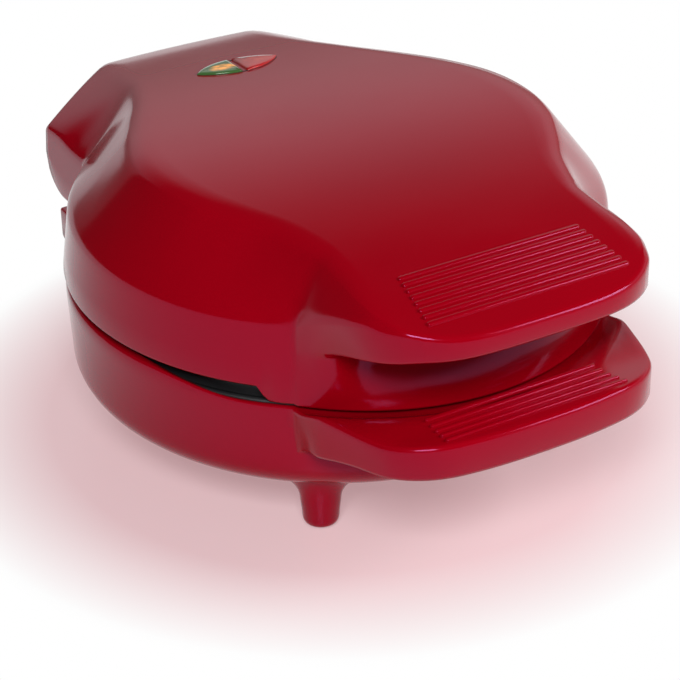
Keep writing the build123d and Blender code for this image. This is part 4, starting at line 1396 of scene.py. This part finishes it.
def add_camera(scene, studio):
    """Camera at the place that the photograph was taken from."""
    data = bpy.data.cameras.new("camera")
    data.lens = studio.lens
    data.sensor_width = 36
    data.clip_start, data.clip_end = 0.05, 20
    camera = bpy.data.objects.new("camera", data)
    heading, pitch, roll = studio.heading, studio.pitch, studio.roll
    ahead = Vector((sin(heading) * cos(pitch), cos(heading) * cos(pitch), sin(pitch)))
    right = ahead.cross(Vector((0, 0, 1))).normalized()
    up = right.cross(ahead)
    level = right * cos(roll) + up * sin(roll)
    raised = up * cos(roll) - right * sin(roll)
    facing = Matrix((level, raised, -ahead)).transposed().to_4x4()
    camera.matrix_world = Matrix.Translation(Vector(studio.camera_place)) @ facing
    scene.collection.objects.link(camera)
    scene.camera = camera


def floor_finish():
    """Pale floor, white to the camera, with a painted pink reflection of the machine close to it, and a
    painted glow there that lightens the machine's shadow.
    """
    f = Finish("pale_floor", Roughness=0.22, IOR=1.6)
    away = f.node("ShaderNodeVectorMath", {"operation": "LENGTH"}, {0: f.place}, output="Value")
    clear = f.spread(away, 0.12, 0.17, 0.0, 1.0)
    # Close to the machine the floor's colour and glow turn pink: a painted reflection of the red machine.
    f.set(Base_Color=f.mix(clear, (0.93, 0.76, 0.78, 1), (0.93, 0.93, 0.93, 1)))
    white_and_painted_reflection = f.mix(clear, (0.88, 0.58, 0.61, 1), (1, 1, 1, 1))
    glow = f.node("ShaderNodeEmission", inputs={"Color": white_and_painted_reflection, "Strength": 1.0})
    rays = ("Is Camera Ray", "Is Glossy Ray", "Is Transmission Ray")
    seen, reflected, through = (f.node("ShaderNodeLightPath", output=ray) for ray in rays)
    # Close to the machine half of what is seen is the glow: painted light that lightens the machine's
    # shadow there.
    share = f.spread(away, 0.12, 0.175, 0.5, 1.0) * seen.or_more(reflected).or_more(through)
    lit = f.node("ShaderNodeMixShader", inputs={0: share, 1: Value(f, f.shader.outputs[0]), 2: glow})
    f.feed(f.out.inputs["Surface"], lit)
    return f.material


def add_floor():
    """Round floor under the machine."""
    bm = bmesh.new()
    bmesh.ops.create_circle(bm, cap_ends=True, segments=64, radius=6)
    mesh = bpy.data.meshes.new("floor")
    bm.to_mesh(mesh)
    bm.free()
    mesh.materials.append(floor_finish())
    floor = bpy.data.objects.new("floor", mesh)
    bpy.context.scene.collection.objects.link(floor)


def surroundings(scene, studio):
    """A dark room with one large pale card behind and to the right; white to the camera."""
    world = bpy.data.worlds.new("studio")
    scene.world = world
    world.use_nodes = True
    g = Graph(world.node_tree)
    way = g.node("ShaderNodeTexCoord", output="Generated")
    x, y, z = (g.node("ShaderNodeSeparateXYZ", inputs={0: way}, output=k) for k in range(3))
    side = x + y * 0.36
    card = g.spread(side, 0.0, 0.05, 0.0, 0.4) + g.spread(side, 0.05, 0.5, 0.0, 0.6)
    height = g.spread(z, 0.38, 0.7, 1.0, 0.0, "SMOOTHSTEP") * g.spread(z, 0.0, 0.38, 0.3, 1.0, "SMOOTHSTEP")
    light = g.spread(card * height, 0.0, 1.0, studio.room_light, studio.backdrop_light)
    seen = g.node("ShaderNodeLightPath", output="Is Camera Ray")
    back = g.node("ShaderNodeBackground", inputs={"Color": (1, 1, 1, 1), "Strength": light.or_more(seen)})
    g.node("ShaderNodeOutputWorld", inputs={"Surface": back})


class WAFFLE_OT_stage(bpy.types.Operator):
    """Make the floor, the surroundings, the lamps and the camera"""

    bl_idname = "waffle.stage"
    bl_label = "Stage"

    def execute(self, context):
        scene, studio = context.scene, context.scene.waffle_studio
        scene.view_settings.view_transform = "Standard"
        add_floor()
        surroundings(scene, studio)
        add_lamp("key_lamp", (-0.62, -0.95, 1.05), studio.key_light)
        add_lamp("fill_lamp", (0.85, -0.75, 0.9), studio.fill_light)
        add_camera(scene, studio)
        return {"FINISHED"}


class WAFFLE_PT_panel(bpy.types.Panel):
    """Panel with the colours, the sizes, the studio and the steps"""

    bl_label = "Bubble waffle maker"
    bl_idname = "WAFFLE_PT_panel"
    bl_space_type = "VIEW_3D"
    bl_region_type = "UI"
    bl_category = "Waffle maker"

    def draw(self, context):
        layout = self.layout
        scene = context.scene
        for group in (scene.waffle_colours, scene.waffle_sizes, scene.waffle_studio):
            for name in group.__annotations__:
                layout.prop(group, name)
        for step in STEPS:
            layout.operator(step.bl_idname)


STEPS = (
    WAFFLE_OT_finishes,
    WAFFLE_OT_stage,
    WAFFLE_OT_lid,
    WAFFLE_OT_upper_ribs,
    WAFFLE_OT_window,
    WAFFLE_OT_base,
    WAFFLE_OT_feet,
    WAFFLE_OT_shade_ring,
    WAFFLE_OT_hinge,
    WAFFLE_OT_lower_ribs,
)
GROUPS = {
    "waffle_colours": WaffleColours,
    "waffle_sizes": WaffleSizes,
    "waffle_studio": WaffleStudio,
}
CLASSES = (*GROUPS.values(), *STEPS, WAFFLE_PT_panel)


def register():
    """Registers the classes and ties the property groups to the scene."""
    for cls in CLASSES:
        bpy.utils.register_class(cls)
    for name, group in GROUPS.items():
        setattr(bpy.types.Scene, name, PointerProperty(type=group))


def unregister():
    """Takes the property groups and the classes away again."""
    for name in GROUPS:
        delattr(bpy.types.Scene, name)
    for cls in reversed(CLASSES):
        bpy.utils.unregister_class(cls)


def main():
    """Builds everything in order."""
    register()
    bpy.ops.waffle.finishes()
    bpy.ops.waffle.stage()
    bpy.ops.waffle.lid()
    bpy.ops.waffle.upper_ribs()
    bpy.ops.waffle.window()
    bpy.ops.waffle.base()
    bpy.ops.waffle.feet()
    bpy.ops.waffle.seal()
    bpy.ops.waffle.hinge()
    bpy.ops.waffle.lower_ribs()


if __name__ == "__main__":
    main()
